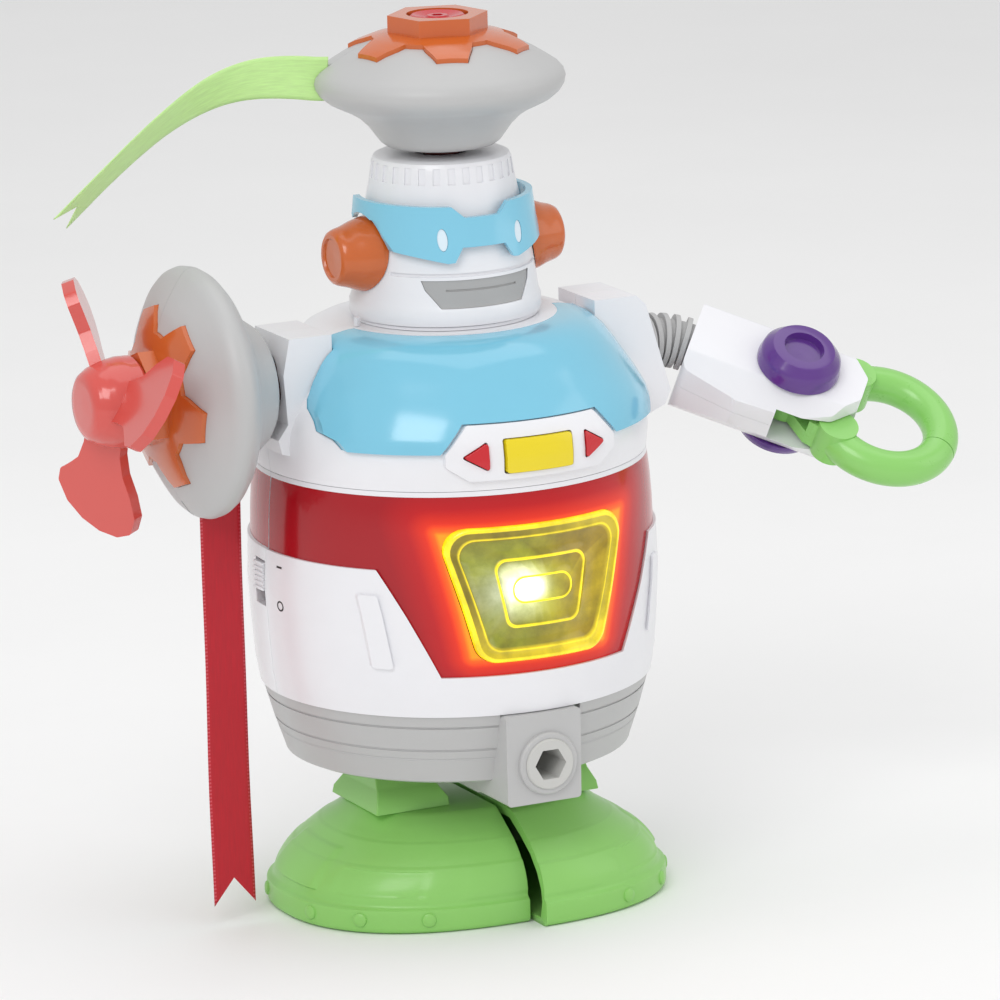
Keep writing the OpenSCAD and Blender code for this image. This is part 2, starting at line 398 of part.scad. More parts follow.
// top disc stands on the drive shaft that rises through the head
top_z = 250;
top_turn = 163;
module top_shaft() color(dark_red) difference() {
  union() {
    translate([0, 0, top_z]) peg(24.6);
    translate([0, 0, 70.2]) cylinder(r = 3, h = top_z - 24.4 - 70.2);
    translate([0, 0, 70.2]) gear(12, 9.2, 10.4, 4);
    translate([0, 0, 127.8]) gear(14, 7.9, 9.1, 4.6);
    translate([0, 0, 158]) gear(12, 5.2, 6.2, 4);
  }
  translate([0, 0, top_z + 14.9]) hex(3.2, 4);
}
module top_place() translate([0, 0, top_z]) rotate([0, 0, top_turn]) children();
module top_disc_a() color(grey) top_place() disc_half(1);
module top_disc_b() color(grey) top_place() disc_half(-1);
module top_gear_plate() color(orange) top_place() gear_plate();
// side disc faces -X, its ribbon plane is vertical
side_x = -83.2;
side_turn = -10;
module side_place() translate([side_x, 0, axis_z]) rotate([0, -90, 0]) rotate([0, 0, 180]) children();
module side_shaft() color(dark_red) side_place() difference() {
  union() { peg(28, 9.0); translate([0, 0, -74]) cylinder(r = 3, h = 50); translate([0, 0, -76.2]) gear(10, 4.2, 5.2, 3); translate([0, 0, 10]) cylinder(r = 3.4, h = 12.2); }
}
module side_disc_a() color(grey) side_place() disc_half(1, side_turn);
module side_disc_b() color(grey) side_place() disc_half(-1, side_turn);
module side_gear_plate() color(orange) side_place() rotate([0, 0, side_turn]) gear_plate();

module propeller() color(coral) side_place() translate([0, 0, 18.4]) difference() {
  union() {
    rotate_extrude() polygon([[0, 0.1], [12.6, 0.1], [13.5, 1.2], [13.6, 5], [12.8, 9.6], [11.4, 13.4], [9.8, 15.8], [8.4, 16.6], [0, 16.8]]);
    for (a = [-20, 100, 220]) rotate([0, 0, a]) translate([0, 0, 7.8]) rotate([150, 0, 0]) blade();
  }
  translate([0, 0, -1]) cylinder(r = 3.46, h = 6.2);
}
// a paddle in its own plane: x outwards, y across, z thick
module blade() translate([0, 0, -1.9]) linear_extrude(3.8) polygon(rounded([[6, -6.4], [15, -6.6], [21, -8.4], [27, -12], [33, -14.4], [38.5, -13.6], [blade_r - 0.6, -9], [blade_r, -2.5],
  [blade_r - 1.5, 4], [37, 10], [31.5, 14], [27.4, 13.8], [24.6, 11], [21, 8], [15, 6.6], [6, 6.4]], 1.6, 4));

// ---------- ribbons ----------
// flat closed strip along a path of [distance, height, twist], hanging on the parting plane
module strip(path, w, t, notch) {
  n = len(path);
  tang = [for (i = [0:n - 1]) let (a = path[max(0, i - 1)], b = path[min(n - 1, i + 1)]) unit([b[0] - a[0], b[1] - a[1]])];
  function across(i) = let (c = cos(path[i][2]), s = sin(path[i][2])) [-tang[i][1] * c, s, tang[i][0] * c];
  function over(i) = let (c = cos(path[i][2]), s = sin(path[i][2])) [tang[i][1] * s, c, -tang[i][0] * s];
  function at(i, u, v) = [path[i][0], 0, path[i][1]] + across(i) * u * w / 2 + over(i) * v * t / 2;
  end = [tang[n - 1][0], 0, tang[n - 1][1]] * notch;
  pts = concat([for (i = [0:n - 1]) each [at(i, -1, -1), at(i, 0, -1), at(i, 1, -1), at(i, 1, 1), at(i, 0, 1), at(i, -1, 1)]],
    [at(n - 1, -1, -1) + end, at(n - 1, 0, -1) - end * 0.02, at(n - 1, 1, -1) + end, at(n - 1, 1, 1) + end, at(n - 1, 0, 1) - end * 0.02, at(n - 1, -1, 1) + end]);
  m = n + 1;
  polyhedron(points = pts, faces = concat([[0, 1, 4, 5], [1, 2, 3, 4]], [[(m - 1) * 6 + 5, (m - 1) * 6 + 4, (m - 1) * 6 + 1, (m - 1) * 6], [(m - 1) * 6 + 4, (m - 1) * 6 + 3, (m - 1) * 6 + 2, (m - 1) * 6 + 1]],
    [for (j = [0:m - 2]) for (i = [0:5]) let (k = (i + 1) % 6) each [[j * 6 + i, (j + 1) * 6 + i, (j + 1) * 6 + k], [j * 6 + i, (j + 1) * 6 + k, j * 6 + k]]]));
}
green_path = [[33.2, 0.4, 0], [37, 0.6, 2], [42, 1.2, 5], [48, 1.6, 10], [54, 1.5, 16], [60, 0.6, 24], [66, -1.2, 32], [72, -4.0, 40], [78, -7.6, 47], [84, -11.8, 52], [90, -16.6, 55], [96, -21.8, 57], [102, -27.2, 58], [108, -32.8, 58], [112, -36.4, 58]];
module top_ribbon() color([0.73, 0.88, 0.57]) top_place() strip(green_path, ribbon_w, 0.5, 7);
module side_ribbon() color([0.75, 0.05, 0.13]) side_place() translate([0, 0, -7.5]) rotate([90, 0, 0]) linear_extrude(0.5, center = true)
  polygon([[33.2, -ribbon_w / 2], [157.2, -ribbon_w / 2], [149.1, 0], [157.2, ribbon_w / 2], [33.2, ribbon_w / 2]]);

// ---------- right arm ----------
// the bellows leaves the shoulder along +X and bends in the claw plane
arm_s = [67, 0, axis_z - 2];
bend_r = 13.6 / (arm_swing * PI / 180);
fore_len = 33;
fore_off = 3.9;
fore_t = 11.5;
function roll_x(v) = [v[0], v[1] * cos(arm_roll) - v[2] * sin(arm_roll), v[1] * sin(arm_roll) + v[2] * cos(arm_roll)];
arm_d = [cos(arm_swing), -sin(arm_swing), 0];
arm_at = arm_s + roll_x([bend_r * sin(arm_swing), -bend_r * (1 - cos(arm_swing)), 0] + arm_d * (fore_len + 0.1) - [0, 0, fore_off]);
echo(arm_at = arm_at, n = roll_x([0, 0, 1]), d = roll_x(arm_d));
module arm_socket() color(grey) translate([0, 0, axis_z - 2]) {
  rotate([0, 90, 0]) { translate([0, 0, 38]) cylinder(r = 6, h = 27); translate([0, 0, 35.6]) cylinder(r = 9, h = 3.6); translate([0, 0, 64.2]) cylinder(r = 8.2, h = 2.7); }
}
module arm_bellows() color(grey) translate(arm_s) rotate([arm_roll, 0, 0]) {
  translate([0, -bend_r, 0]) rotate([0, 0, 90 - arm_swing]) rotate_extrude(angle = arm_swing, $fn = 192) translate([bend_r, 0]) circle(r = 6.6, $fn = 64);
  for (i = [0:3]) let (t = (i + 0.5) / 4 * arm_swing) translate([bend_r * sin(t), -bend_r * (1 - cos(t)), 0]) rotate([0, 0, -t]) rotate([0, 90, 0])
    translate([0, 0, -0.75]) cylinder(r = 8.2, h = 1.5);
}
module arm_place() translate(arm_at) rotate([arm_roll, 0, 0]) rotate([0, 0, -arm_swing]) children();
// outline of the forearm seen along the claw pin, and its section
fore_plan = rounded([[-fore_len, -14.5], [-fore_len, 14], [-14, 17.4], [4, 17], [15, 13.4], [21.5, 5], [21.5, -5], [15, -13.4], [4, -17], [-14, -17.4]], 3, 5);
module fore_body() intersection() {
  translate([0, 0, -fore_t]) linear_extrude(2 * fore_t) polygon(fore_plan);
  // chamfers along both sides
  rotate([90, 0, 90]) translate([0, 0, -40]) linear_extrude(70) polygon(rounded([[-17.6, -4.5], [-11.5, -fore_t], [11.5, -fore_t], [17.6, -4.5], [17.6, 5], [12, fore_t], [-10, fore_t], [-17.6, 5]], 2, 4));
}
module fore_half(s) difference() {
  intersection() { fore_body(); translate([-60, -40, s > 0 ? 0.05 : -40.05]) cube([120, 80, 40]); }
  // hollow back
  translate([-30, -12, s > 0 ? -1 : -9.2]) cube([17, 24, 10.2]);
  // slot for the jaws, open on both sides, with a bridge at the nose
  difference() { union() { translate([-11, -11.5, -6.2]) cube([20, 23, 12.4]); translate([-1.6, -30, -6.2]) cube([40, 60, 12.4]); } translate([16, -3, -8]) cube([9, 6, 16]); }
  translate([0, 0, -20]) cylinder(r = 2.56, h = 40);
}
module forearm_upper() color(white) arm_place() fore_half(1);
module forearm_lower() color(white) arm_place() fore_half(-1);
module arm_caps() color(purple) arm_place() for (s = [-1, 1]) mirror([0, 0, s < 0 ? 1 : 0]) translate([0, 0, fore_t + 0.1]) difference() {
  rotate_extrude() polygon(s > 0 ? [[0, 0], [12.8, 0], [12.9, 1], [12.2, 4.4], [9.6, 7.4], [8.8, 7.6], [6.2, 7.6], [5.6, 5.4], [0, 5.2]] : [[0, 0], [12.8, 0], [12.9, 1], [12.2, 3], [9.6, 5], [0, 5.2]]);
  translate([0, 0, -1]) cylinder(r = 2.56, h = 4);
}
module claw_pin() color("silver") arm_place() translate([0, 0, -14]) cylinder(r = 2.5, h = 28);
// one jaw in the half space y > 0; its eye lies on the side z > 0
claw_c = 30.7;
jaw_in = 44;
module jaw() difference() {
  union() {
    // curved bar; past the middle only its upper half goes on, as a stepped end
    difference() {
      translate([claw_c, 0, 0]) rotate([0, 0, 180 - jaw_in]) mirror([0, 1, 0]) rotate_extrude(angle = 187.5 - jaw_in, $fn = 96) translate([claw_r, 0]) circle(r = claw_bar, $fn = 48);
      translate([claw_c, 0, 0]) rotate([0, 0, 8.5]) translate([claw_r - 10, -12, -10]) cube([20, 12, 10.08]);
    }
    // drum where the bar turns in towards the pin
    translate([claw_c - claw_r * cos(jaw_in), claw_r * sin(jaw_in), -claw_bar - 0.35]) cylinder(r = claw_bar + 0.7, h = 2 * claw_bar + 0.7, $fn = 48);
    // eye and its arm
    translate([0, 0, 0.25]) cylinder(r = 8, h = 4.9);
    translate([0, 0, 0.25]) linear_extrude(4.4) polygon([[2, 7.2], [3, 0.4], [12, 1.4], [22, 8], [22, 13], [14.5, 15.5], [9, 14]]);
    difference() {
      translate([0, 0, -4.2]) linear_extrude(6) polygon([[9.6, 6.5], [12.6, 2.8], [22, 8], [22, 13], [14.5, 15.5], [9, 14]]);
      translate([0, 0, -10]) cylinder(r = 10.4, h = 10.1);
    }
  }
  translate([0, 0, -8]) cylinder(r = 2.56, h = 16);
}
module claw_jaw_a() color(green) arm_place() jaw();
module claw_jaw_b() color(green) arm_place() mirror([0, 1, 0]) mirror([0, 0, 1]) jaw();
module shell_screws() color("silver") for (a = [50, 130]) translate([44 * cos(a), 44 * sin(a), hull_z + 1.6]) { cylinder(r = 2.6, h = 1.4); cylinder(r = 1.2, h = 16); }

hull();
hub_block();
drive_socket();
mid_shell_front();
mid_shell_back();
red_panel();
lamp_lens();
lamp_reflector();
lamp_led();
chest_shell_front();
chest_shell_back();
chest_panel();
button_bezel();
button_middle();
button_left();
button_right();
button_board();
power_knob();
power_switch();
battery_box();
batteries();
battery_door();
door_screw();
drive_frame();
drive_motor();
motor_pinion();
crankshaft();
speaker();
neck_collar();
leg_left();
foot_left();
leg_right();
foot_right();
head_shell();
neck_bearing();
visor();
pupils();
ear_left();
ear_right();
mouth_panel();
top_shaft();
top_disc_a();
top_disc_b();
top_gear_plate();
top_ribbon();
side_shaft();
side_disc_a();
side_disc_b();
side_gear_plate();
side_ribbon();
propeller();
arm_socket();
arm_bellows();
forearm_upper();
forearm_lower();
arm_caps();
claw_pin();
claw_jaw_a();
claw_jaw_b();
shell_screws();
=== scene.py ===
import bpy, bmesh, json, math
from mathutils import Vector, Matrix, noise

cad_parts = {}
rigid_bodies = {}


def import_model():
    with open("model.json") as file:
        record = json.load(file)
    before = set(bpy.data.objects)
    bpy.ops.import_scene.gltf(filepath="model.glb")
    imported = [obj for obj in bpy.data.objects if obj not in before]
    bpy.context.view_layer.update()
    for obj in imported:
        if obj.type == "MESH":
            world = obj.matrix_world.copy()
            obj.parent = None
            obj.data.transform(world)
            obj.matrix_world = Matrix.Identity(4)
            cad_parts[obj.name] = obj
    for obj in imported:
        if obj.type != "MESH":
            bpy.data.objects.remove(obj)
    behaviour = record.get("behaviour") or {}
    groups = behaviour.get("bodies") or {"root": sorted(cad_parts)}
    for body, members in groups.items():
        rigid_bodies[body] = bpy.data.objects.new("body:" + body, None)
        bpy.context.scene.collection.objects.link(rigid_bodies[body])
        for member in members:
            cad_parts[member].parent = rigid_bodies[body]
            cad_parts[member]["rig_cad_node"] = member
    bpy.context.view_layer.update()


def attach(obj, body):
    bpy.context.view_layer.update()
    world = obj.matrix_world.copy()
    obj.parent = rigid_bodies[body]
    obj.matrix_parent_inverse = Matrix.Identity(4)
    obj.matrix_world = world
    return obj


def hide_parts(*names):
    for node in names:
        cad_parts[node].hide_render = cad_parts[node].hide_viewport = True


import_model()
MM = 0.001


# ---------------------------------------------------------------- node helpers
def new_mat(name):
    m = bpy.data.materials.new(name)
    m.use_nodes = True
    nt = m.node_tree
    b = nt.nodes["Principled BSDF"]
    return m, nt, b


def link(nt, a, b):
    nt.links.new(a, b)


def noise_tex(nt, scale, detail=4, rough=0.5, coords=None):
    n = nt.nodes.new("ShaderNodeTexNoise")
    n.inputs["Scale"].default_value = scale
    n.inputs["Detail"].default_value = detail
    n.inputs["Roughness"].default_value = rough
    if coords is not None:
        link(nt, coords, n.inputs["Vector"])
    return n


def math_node(nt, op, a, b=None, clamp=False):
    n = nt.nodes.new("ShaderNodeMath")
    n.operation = op
    n.use_clamp = clamp
    for i, v in enumerate((a, b)):
        if v is None:
            continue
        if isinstance(v, (int, float)):
            n.inputs[i].default_value = v
        else:
            link(nt, v, n.inputs[i])
    return n.outputs[0]


def ramp(nt, fac, stops):
    n = nt.nodes.new("ShaderNodeValToRGB")
    e = n.color_ramp.elements
    while len(e) < len(stops):
        e.new(0.5)
    for i, (p, c) in enumerate(stops):
        e[i].position = p
        e[i].color = c if len(c) == 4 else (*c, 1)
    link(nt, fac, n.inputs[0])
    return n.outputs[0]


def plastic(name, col, rough=0.3, grain=0.02, coat=0.0, sss=0.0, spots=0.025, scale=900, coat_rough=0.1, flow=0.03):
    """Moulded plastic: fine grain in the bump, cloudy roughness, very slight changes of shade."""
    m, nt, b = new_mat(name)
    tc = nt.nodes.new("ShaderNodeTexCoord").outputs["Object"]
    cloud = noise_tex(nt, 28, 5, 0.6, tc).outputs["Fac"]
    fine = noise_tex(nt, scale, 3, 0.5, tc).outputs["Fac"]
    wear = noise_tex(nt, 160, 6, 0.65, tc).outputs["Fac"]
    dark = tuple(max(0, c * (1 - spots) - 0.0) for c in col)
    lite = tuple(min(1, c * (1 + spots * 0.6)) for c in col)
    link(nt, ramp(nt, cloud, [(0.3, dark), (0.7, lite)]), b.inputs["Base Color"])
    r = math_node(nt, "ADD", math_node(nt, "MULTIPLY", cloud, 2 * flow), math_node(nt, "MULTIPLY", wear, 2 * flow))
    link(nt, math_node(nt, "ADD", r, rough - 2 * flow), b.inputs["Roughness"])
    bump = nt.nodes.new("ShaderNodeBump")
    bump.inputs["Strength"].default_value = grain
    bump.inputs["Distance"].default_value = 0.0004
    link(nt, fine, bump.inputs["Height"])
    link(nt, bump.outputs[0], b.inputs["Normal"])
    b.inputs["IOR"].default_value = 1.49
    b.inputs["Coat Weight"].default_value = coat
    b.inputs["Coat Roughness"].default_value = coat_rough
    if sss:
        b.inputs["Subsurface Weight"].default_value = sss
        b.inputs["Subsurface Radius"].default_value = (0.004, 0.003, 0.002)
        b.inputs["Subsurface Scale"].default_value = 0.5
    return m


def metal(name, col, rough=0.3):
    m, nt, b = new_mat(name)
    tc = nt.nodes.new("ShaderNodeTexCoord").outputs["Object"]
    n = noise_tex(nt, 300, 5, 0.6, tc).outputs["Fac"]
    link(nt, ramp(nt, n, [(0.3, tuple(c * 0.9 for c in col)), (0.7, col)]), b.inputs["Base Color"])
    link(nt, math_node(nt, "ADD", math_node(nt, "MULTIPLY", n, 0.15), rough), b.inputs["Roughness"])
    b.inputs["Metallic"].default_value = 1.0
    return m


WHITE = plastic("white_plastic", (0.83, 0.83, 0.86), 0.30, 0.03, coat=0.15, sss=0.0)
GREY = plastic("grey_plastic", (0.50, 0.50, 0.50), 0.42, 0.06)
GREY_LITE = plastic("grey_light_plastic", (0.56, 0.56, 0.54), 0.40, 0.05)
RUBBER = plastic("bellows_rubber", (0.46, 0.46, 0.46), 0.55, 0.08)
BLUE = plastic("blue_gloss", (0.20, 0.56, 0.74), 0.16, 0.012, coat=0.5)
VISOR = plastic("visor_blue", (0.22, 0.58, 0.76), 0.20, 0.012, coat=0.4)
CORAL = plastic("coral_gloss", (0.66, 0.085, 0.07), 0.18, 0.012, coat=0.5, sss=0.0)
ORANGE = plastic("orange_gloss", (0.60, 0.125, 0.02), 0.22, 0.015, coat=0.4)
PURPLE = plastic("purple_gloss", (0.105, 0.03, 0.24), 0.2, 0.015, coat=0.4)
GREEN = plastic("green_plastic", (0.27, 0.60, 0.14), 0.36, 0.05, coat=0.1)
CLAW = plastic("green_claw", (0.27, 0.62, 0.15), 0.28, 0.03, coat=0.2)
DARKRED = plastic("dark_red_plastic", (0.10, 0.008, 0.01), 0.32, 0.02)
BUTTON_Y = plastic("button_yellow", (0.83, 0.66, 0.01), 0.28, 0.02, coat=0.2)
BUTTON_R = plastic("button_red", (0.58, 0.012, 0.02), 0.28, 0.02, coat=0.2)
EYE = plastic("eye_white", (0.72, 0.84, 0.92), 0.2, 0.01, coat=0.4)
BOARD = plastic("board_green", (0.03, 0.13, 0.05), 0.4, 0.05)
DARK = plastic("dark_plastic", (0.05, 0.05, 0.055), 0.45, 0.05)
INNER = plastic("inner_grey", (0.28, 0.28, 0.30), 0.5, 0.05)
NYLON = plastic("nylon", (0.8, 0.78, 0.68), 0.45, 0.04)
CELL = plastic("cell_sleeve", (0.05, 0.16, 0.09), 0.3, 0.02)
STEEL = metal("steel", (0.62, 0.62, 0.64), 0.28)
CAN = metal("motor_can", (0.5, 0.5, 0.52), 0.3)
INK = plastic("printed_ink", (0.012, 0.012, 0.014), 0.5, 0.02)
GROOVE = plastic("mouth_grey", (0.40, 0.40, 0.40), 0.45, 0.05)


# red band: the glow of the lamp behind it on its edge is painted into its base and emission colour
def red_band():
    m, nt, b = new_mat("red_band")
    tc = nt.nodes.new("ShaderNodeTexCoord").outputs["Object"]
    sx = nt.nodes.new("ShaderNodeSeparateXYZ")
    link(nt, tc, sx.inputs[0])
    x, z = sx.outputs[0], sx.outputs[2]
    cloud = noise_tex(nt, 26, 4, 0.6, tc).outputs["Fac"]
    wear = noise_tex(nt, 170, 5, 0.6, tc).outputs["Fac"]
    # half width of the lamp at this height, in metres
    hw = math_node(nt, "ADD", math_node(nt, "MULTIPLY", math_node(nt, "SUBTRACT", z, 0.1055), 0.22), 0.0255)
    dx = math_node(nt, "MAXIMUM", math_node(nt, "SUBTRACT", math_node(nt, "ABSOLUTE", x), hw), 0.0)
    dz = math_node(nt, "MAXIMUM", math_node(nt, "SUBTRACT", math_node(nt, "ABSOLUTE", math_node(nt, "SUBTRACT", z, 0.1055)), 0.0185), 0.0)
    d = math_node(nt, "SQRT", math_node(nt, "ADD", math_node(nt, "MULTIPLY", dx, dx), math_node(nt, "MULTIPLY", dz, dz)))
    f = math_node(nt, "DIVIDE", d, 0.014, clamp=True)
    # painted glow: orange base colour and emission that fade with distance from the lamp's edge
    link(nt, ramp(nt, f, [(0.0, (0.60, 0.09, 0.005)), (0.2, (0.50, 0.012, 0.004)), (0.5, (0.42, 0.005, 0.008)), (1.0, (0.38, 0.004, 0.010))]), b.inputs["Base Color"])
    link(nt, ramp(nt, f, [(0.0, (1.0, 0.36, 0.0)), (0.08, (0.85, 0.11, 0.0)), (0.25, (0.42, 0.018, 0.0)), (0.55, (0.14, 0.0, 0.0)), (1.0, (0, 0, 0))]), b.inputs["Emission Color"])
    b.inputs["Emission Strength"].default_value = 0.8
    link(nt, math_node(nt, "ADD", math_node(nt, "MULTIPLY", cloud, 0.06), math_node(nt, "ADD", math_node(nt, "MULTIPLY", wear, 0.04), 0.13)), b.inputs["Roughness"])
    bump = nt.nodes.new("ShaderNodeBump")
    bump.inputs["Strength"].default_value = 0.02
    bump.inputs["Distance"].default_value = 0.0004
    link(nt, noise_tex(nt, 800, 3, 0.5, tc).outputs["Fac"], bump.inputs["Height"])
    link(nt, bump.outputs[0], b.inputs["Normal"])
    b.inputs["Coat Weight"].default_value = 0.25
    b.inputs["Coat Roughness"].default_value = 0.08
    b.inputs["Specular IOR Level"].default_value = 0.35
    return m


RED = red_band()


def two_tone(name, base, other, z0, z1, rough=0.25, coat=0.3):
    """one moulding with a second colour between the heights z0 and z1."""
    m = plastic(name, base, rough, 0.02, coat=coat)
    nt = m.node_tree
    b = nt.nodes["Principled BSDF"]
    old = b.inputs["Base Color"].links[0].from_socket
    tc = nt.nodes.new("ShaderNodeTexCoord").outputs["Object"]
    sx = nt.nodes.new("ShaderNodeSeparateXYZ")
    link(nt, tc, sx.inputs[0])
    inside = math_node(nt, "MULTIPLY", math_node(nt, "GREATER_THAN", sx.outputs[2], z0), math_node(nt, "LESS_THAN", sx.outputs[2], z1))
    mix = nt.nodes.new("ShaderNodeMix")
    mix.data_type = "RGBA"
    link(nt, inside, mix.inputs[0])
    link(nt, old, mix.inputs[6])
    mix.inputs[7].default_value = (*other, 1)
    link(nt, mix.outputs[2], b.inputs["Base Color"])
    return m


BACK_SHELL = two_tone("white_with_red_band", (0.83, 0.83, 0.86), (0.38, 0.004, 0.010), 0.1137, 0.1352)
PEG = two_tone("dark_red_peg", (0.10, 0.008, 0.01), (0.55, 0.02, 0.03), 0.262, 0.4)


def vertex_glow(name, rough, base_mul=0.5, strength=1.0, bumps=0.25):
    """Translucent yellow moulding lit from behind; the light on it is held in the mesh's colour attribute."""
    m, nt, b = new_mat(name)
    at = nt.nodes.new("ShaderNodeAttribute")
    at.attribute_name = "glow"
    tc = nt.nodes.new("ShaderNodeTexCoord").outputs["Object"]
    n = noise_tex(nt, 420, 5, 0.6, tc).outputs["Fac"]
    big = noise_tex(nt, 150, 4, 0.6, tc).outputs["Fac"]
    mix = nt.nodes.new("ShaderNodeMix")
    mix.data_type = "RGBA"
    mix.blend_type = "MULTIPLY"
    mix.inputs[0].default_value = 1.0
    link(nt, at.outputs["Color"], mix.inputs[6])
    link(nt, ramp(nt, big, [(0.35, (0.55, 0.58, 0.45)), (0.6, (1, 1, 1))]), mix.inputs[7])
    link(nt, mix.outputs[2], b.inputs["Emission Color"])
    b.inputs["Emission Strength"].default_value = strength
    base = nt.nodes.new("ShaderNodeMix")
    base.data_type = "RGBA"
    base.blend_type = "MULTIPLY"
    base.inputs[0].default_value = 1.0
    link(nt, at.outputs["Color"], base.inputs[6])
    base.inputs[7].default_value = (base_mul, base_mul, base_mul, 1)
    link(nt, base.outputs[2], b.inputs["Base Color"])
    link(nt, math_node(nt, "ADD", math_node(nt, "MULTIPLY", n, 0.1), rough), b.inputs["Roughness"])
    bump = nt.nodes.new("ShaderNodeBump")
    bump.inputs["Strength"].default_value = bumps
    bump.inputs["Distance"].default_value = 0.0006
    link(nt, n, bump.inputs["Height"])
    link(nt, bump.outputs[0], b.inputs["Normal"])
    b.inputs["Coat Weight"].default_value = 0.5
    b.inputs["Coat Roughness"].default_value = 0.06
    return m


LAMP = vertex_glow("lamp_yellow", 0.15)


def ribbon_mat(name, col, weft, see=0.0, sheen=0.3, picot=False):
    """Satin ribbon: fine weft ribs across, warp lines along, from the sheet's UVs."""
    m, nt, b = new_mat(name)
    uv = nt.nodes.new("ShaderNodeTexCoord").outputs["UV"]
    sep = nt.nodes.new("ShaderNodeSeparateXYZ")
    link(nt, uv, sep.inputs[0])
    u, v = sep.outputs[0], sep.outputs[1]
    wv = nt.nodes.new("ShaderNodeTexWave")
    wv.bands_direction = "Y"
    wv.inputs["Scale"].default_value = weft
    wv.inputs["Distortion"].default_value = 0.4
    link(nt, uv, wv.inputs["Vector"])
    warp = noise_tex(nt, 1.0, 3, 0.6)
    mp = nt.nodes.new("ShaderNodeMapping")
    mp.inputs["Scale"].default_value = (60, 4, 1)
    link(nt, uv, mp.inputs["Vector"])
    link(nt, mp.outputs[0], warp.inputs["Vector"])
    warp.inputs["Scale"].default_value = 4
    cm = nt.nodes.new("ShaderNodeTexNoise")
    cm.inputs["Scale"].default_value = 3
    link(nt, uv, cm.inputs["Vector"])
    shade = ramp(nt, warp.outputs["Fac"], [(0.3, tuple(c * 0.86 for c in col)), (0.7, col)])
    if picot:
        # little woven loops along both edges
        edge = math_node(nt, "GREATER_THAN", math_node(nt, "ABSOLUTE", math_node(nt, "SUBTRACT", u, 0.05)), 0.0445)
        beat = math_node(nt, "GREATER_THAN", math_node(nt, "SINE", math_node(nt, "MULTIPLY", v, 2 * math.pi * 110)), 0.1)
        mixp = nt.nodes.new("ShaderNodeMix")
        mixp.data_type = "RGBA"
        link(nt, math_node(nt, "MULTIPLY", math_node(nt, "MULTIPLY", edge, beat), 0.55), mixp.inputs[0])
        link(nt, shade, mixp.inputs[6])
        mixp.inputs[7].default_value = (0.80, 0.16, 0.20, 1)
        shade = mixp.outputs[2]
    link(nt, shade, b.inputs["Base Color"])
    link(nt, math_node(nt, "ADD", math_node(nt, "MULTIPLY", warp.outputs["Fac"], 0.18), 0.32), b.inputs["Roughness"])
    bump = nt.nodes.new("ShaderNodeBump")
    bump.inputs["Strength"].default_value = 0.18
    bump.inputs["Distance"].default_value = 0.0002
    h = math_node(nt, "ADD", wv.outputs["Fac"], math_node(nt, "MULTIPLY", warp.outputs["Fac"], 0.6))
    link(nt, h, bump.inputs["Height"])
    link(nt, bump.outputs[0], b.inputs["Normal"])
    b.inputs["Sheen Weight"].default_value = sheen
    b.inputs["Sheen Roughness"].default_value = 0.35
    b.inputs["Anisotropic"].default_value = 0.5
    if see:
        b.inputs["Transmission Weight"].default_value = 0.0
        b.inputs["Subsurface Weight"].default_value = see
        b.inputs["Subsurface Radius"].default_value = (0.002, 0.002, 0.002)
        b.inputs["Subsurface Scale"].default_value = 0.3
    return m


RIB_R = ribbon_mat("ribbon_red_satin", (0.52, 0.003, 0.016), 160, sheen=0.06, picot=True)
RIB_G = ribbon_mat("ribbon_green_satin", (0.60, 0.90, 0.36), 160, see=0.35, sheen=0.1)

MATS = {
    BACK_SHELL: "mid_shell_back battery_door",
    PEG: "top_shaft",
    WHITE: "mid_shell_front chest_shell_front chest_shell_back button_bezel neck_collar head_shell forearm_upper forearm_lower power_knob",
    GREY: "hull hub_block top_disc_a top_disc_b side_disc_a side_disc_b arm_socket",
    GROOVE: "mouth_panel",
    GREY_LITE: "drive_socket",
    RUBBER: "arm_bellows",
    INNER: "drive_frame neck_bearing crankshaft",
    DARK: "battery_box power_switch speaker",
    BLUE: "chest_panel",
    VISOR: "visor",
    RED: "red_panel",
    BUTTON_R: "button_left button_right",
    BUTTON_Y: "button_middle",
    CORAL: "propeller",
    ORANGE: "ear_left ear_right top_gear_plate side_gear_plate",
    PURPLE: "arm_caps",
    GREEN: "leg_left foot_left leg_right foot_right",
    CLAW: "claw_jaw_a claw_jaw_b",
    DARKRED: "claw_pin side_shaft",
    RIB_G: "top_ribbon",
    RIB_R: "side_ribbon",
    LAMP: "lamp_lens",
    STEEL: "lamp_reflector door_screw shell_screws",
    EYE: "lamp_led pupils",
    BOARD: "button_board",
    CAN: "drive_motor",
    CELL: "batteries",
    NYLON: "motor_pinion",
}
cad = {}
for o in bpy.data.objects:
    if o.type == "MESH":
        nm = o.get("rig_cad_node", None)
        cad[nm if isinstance(nm, str) else o.name] = o
for m, names in MATS.items():
    for n in names.split():
        o = cad.get(n)
        if o is None:
            print("no object for", n)
            continue
        o.data.materials.clear()
        o.data.materials.append(m)


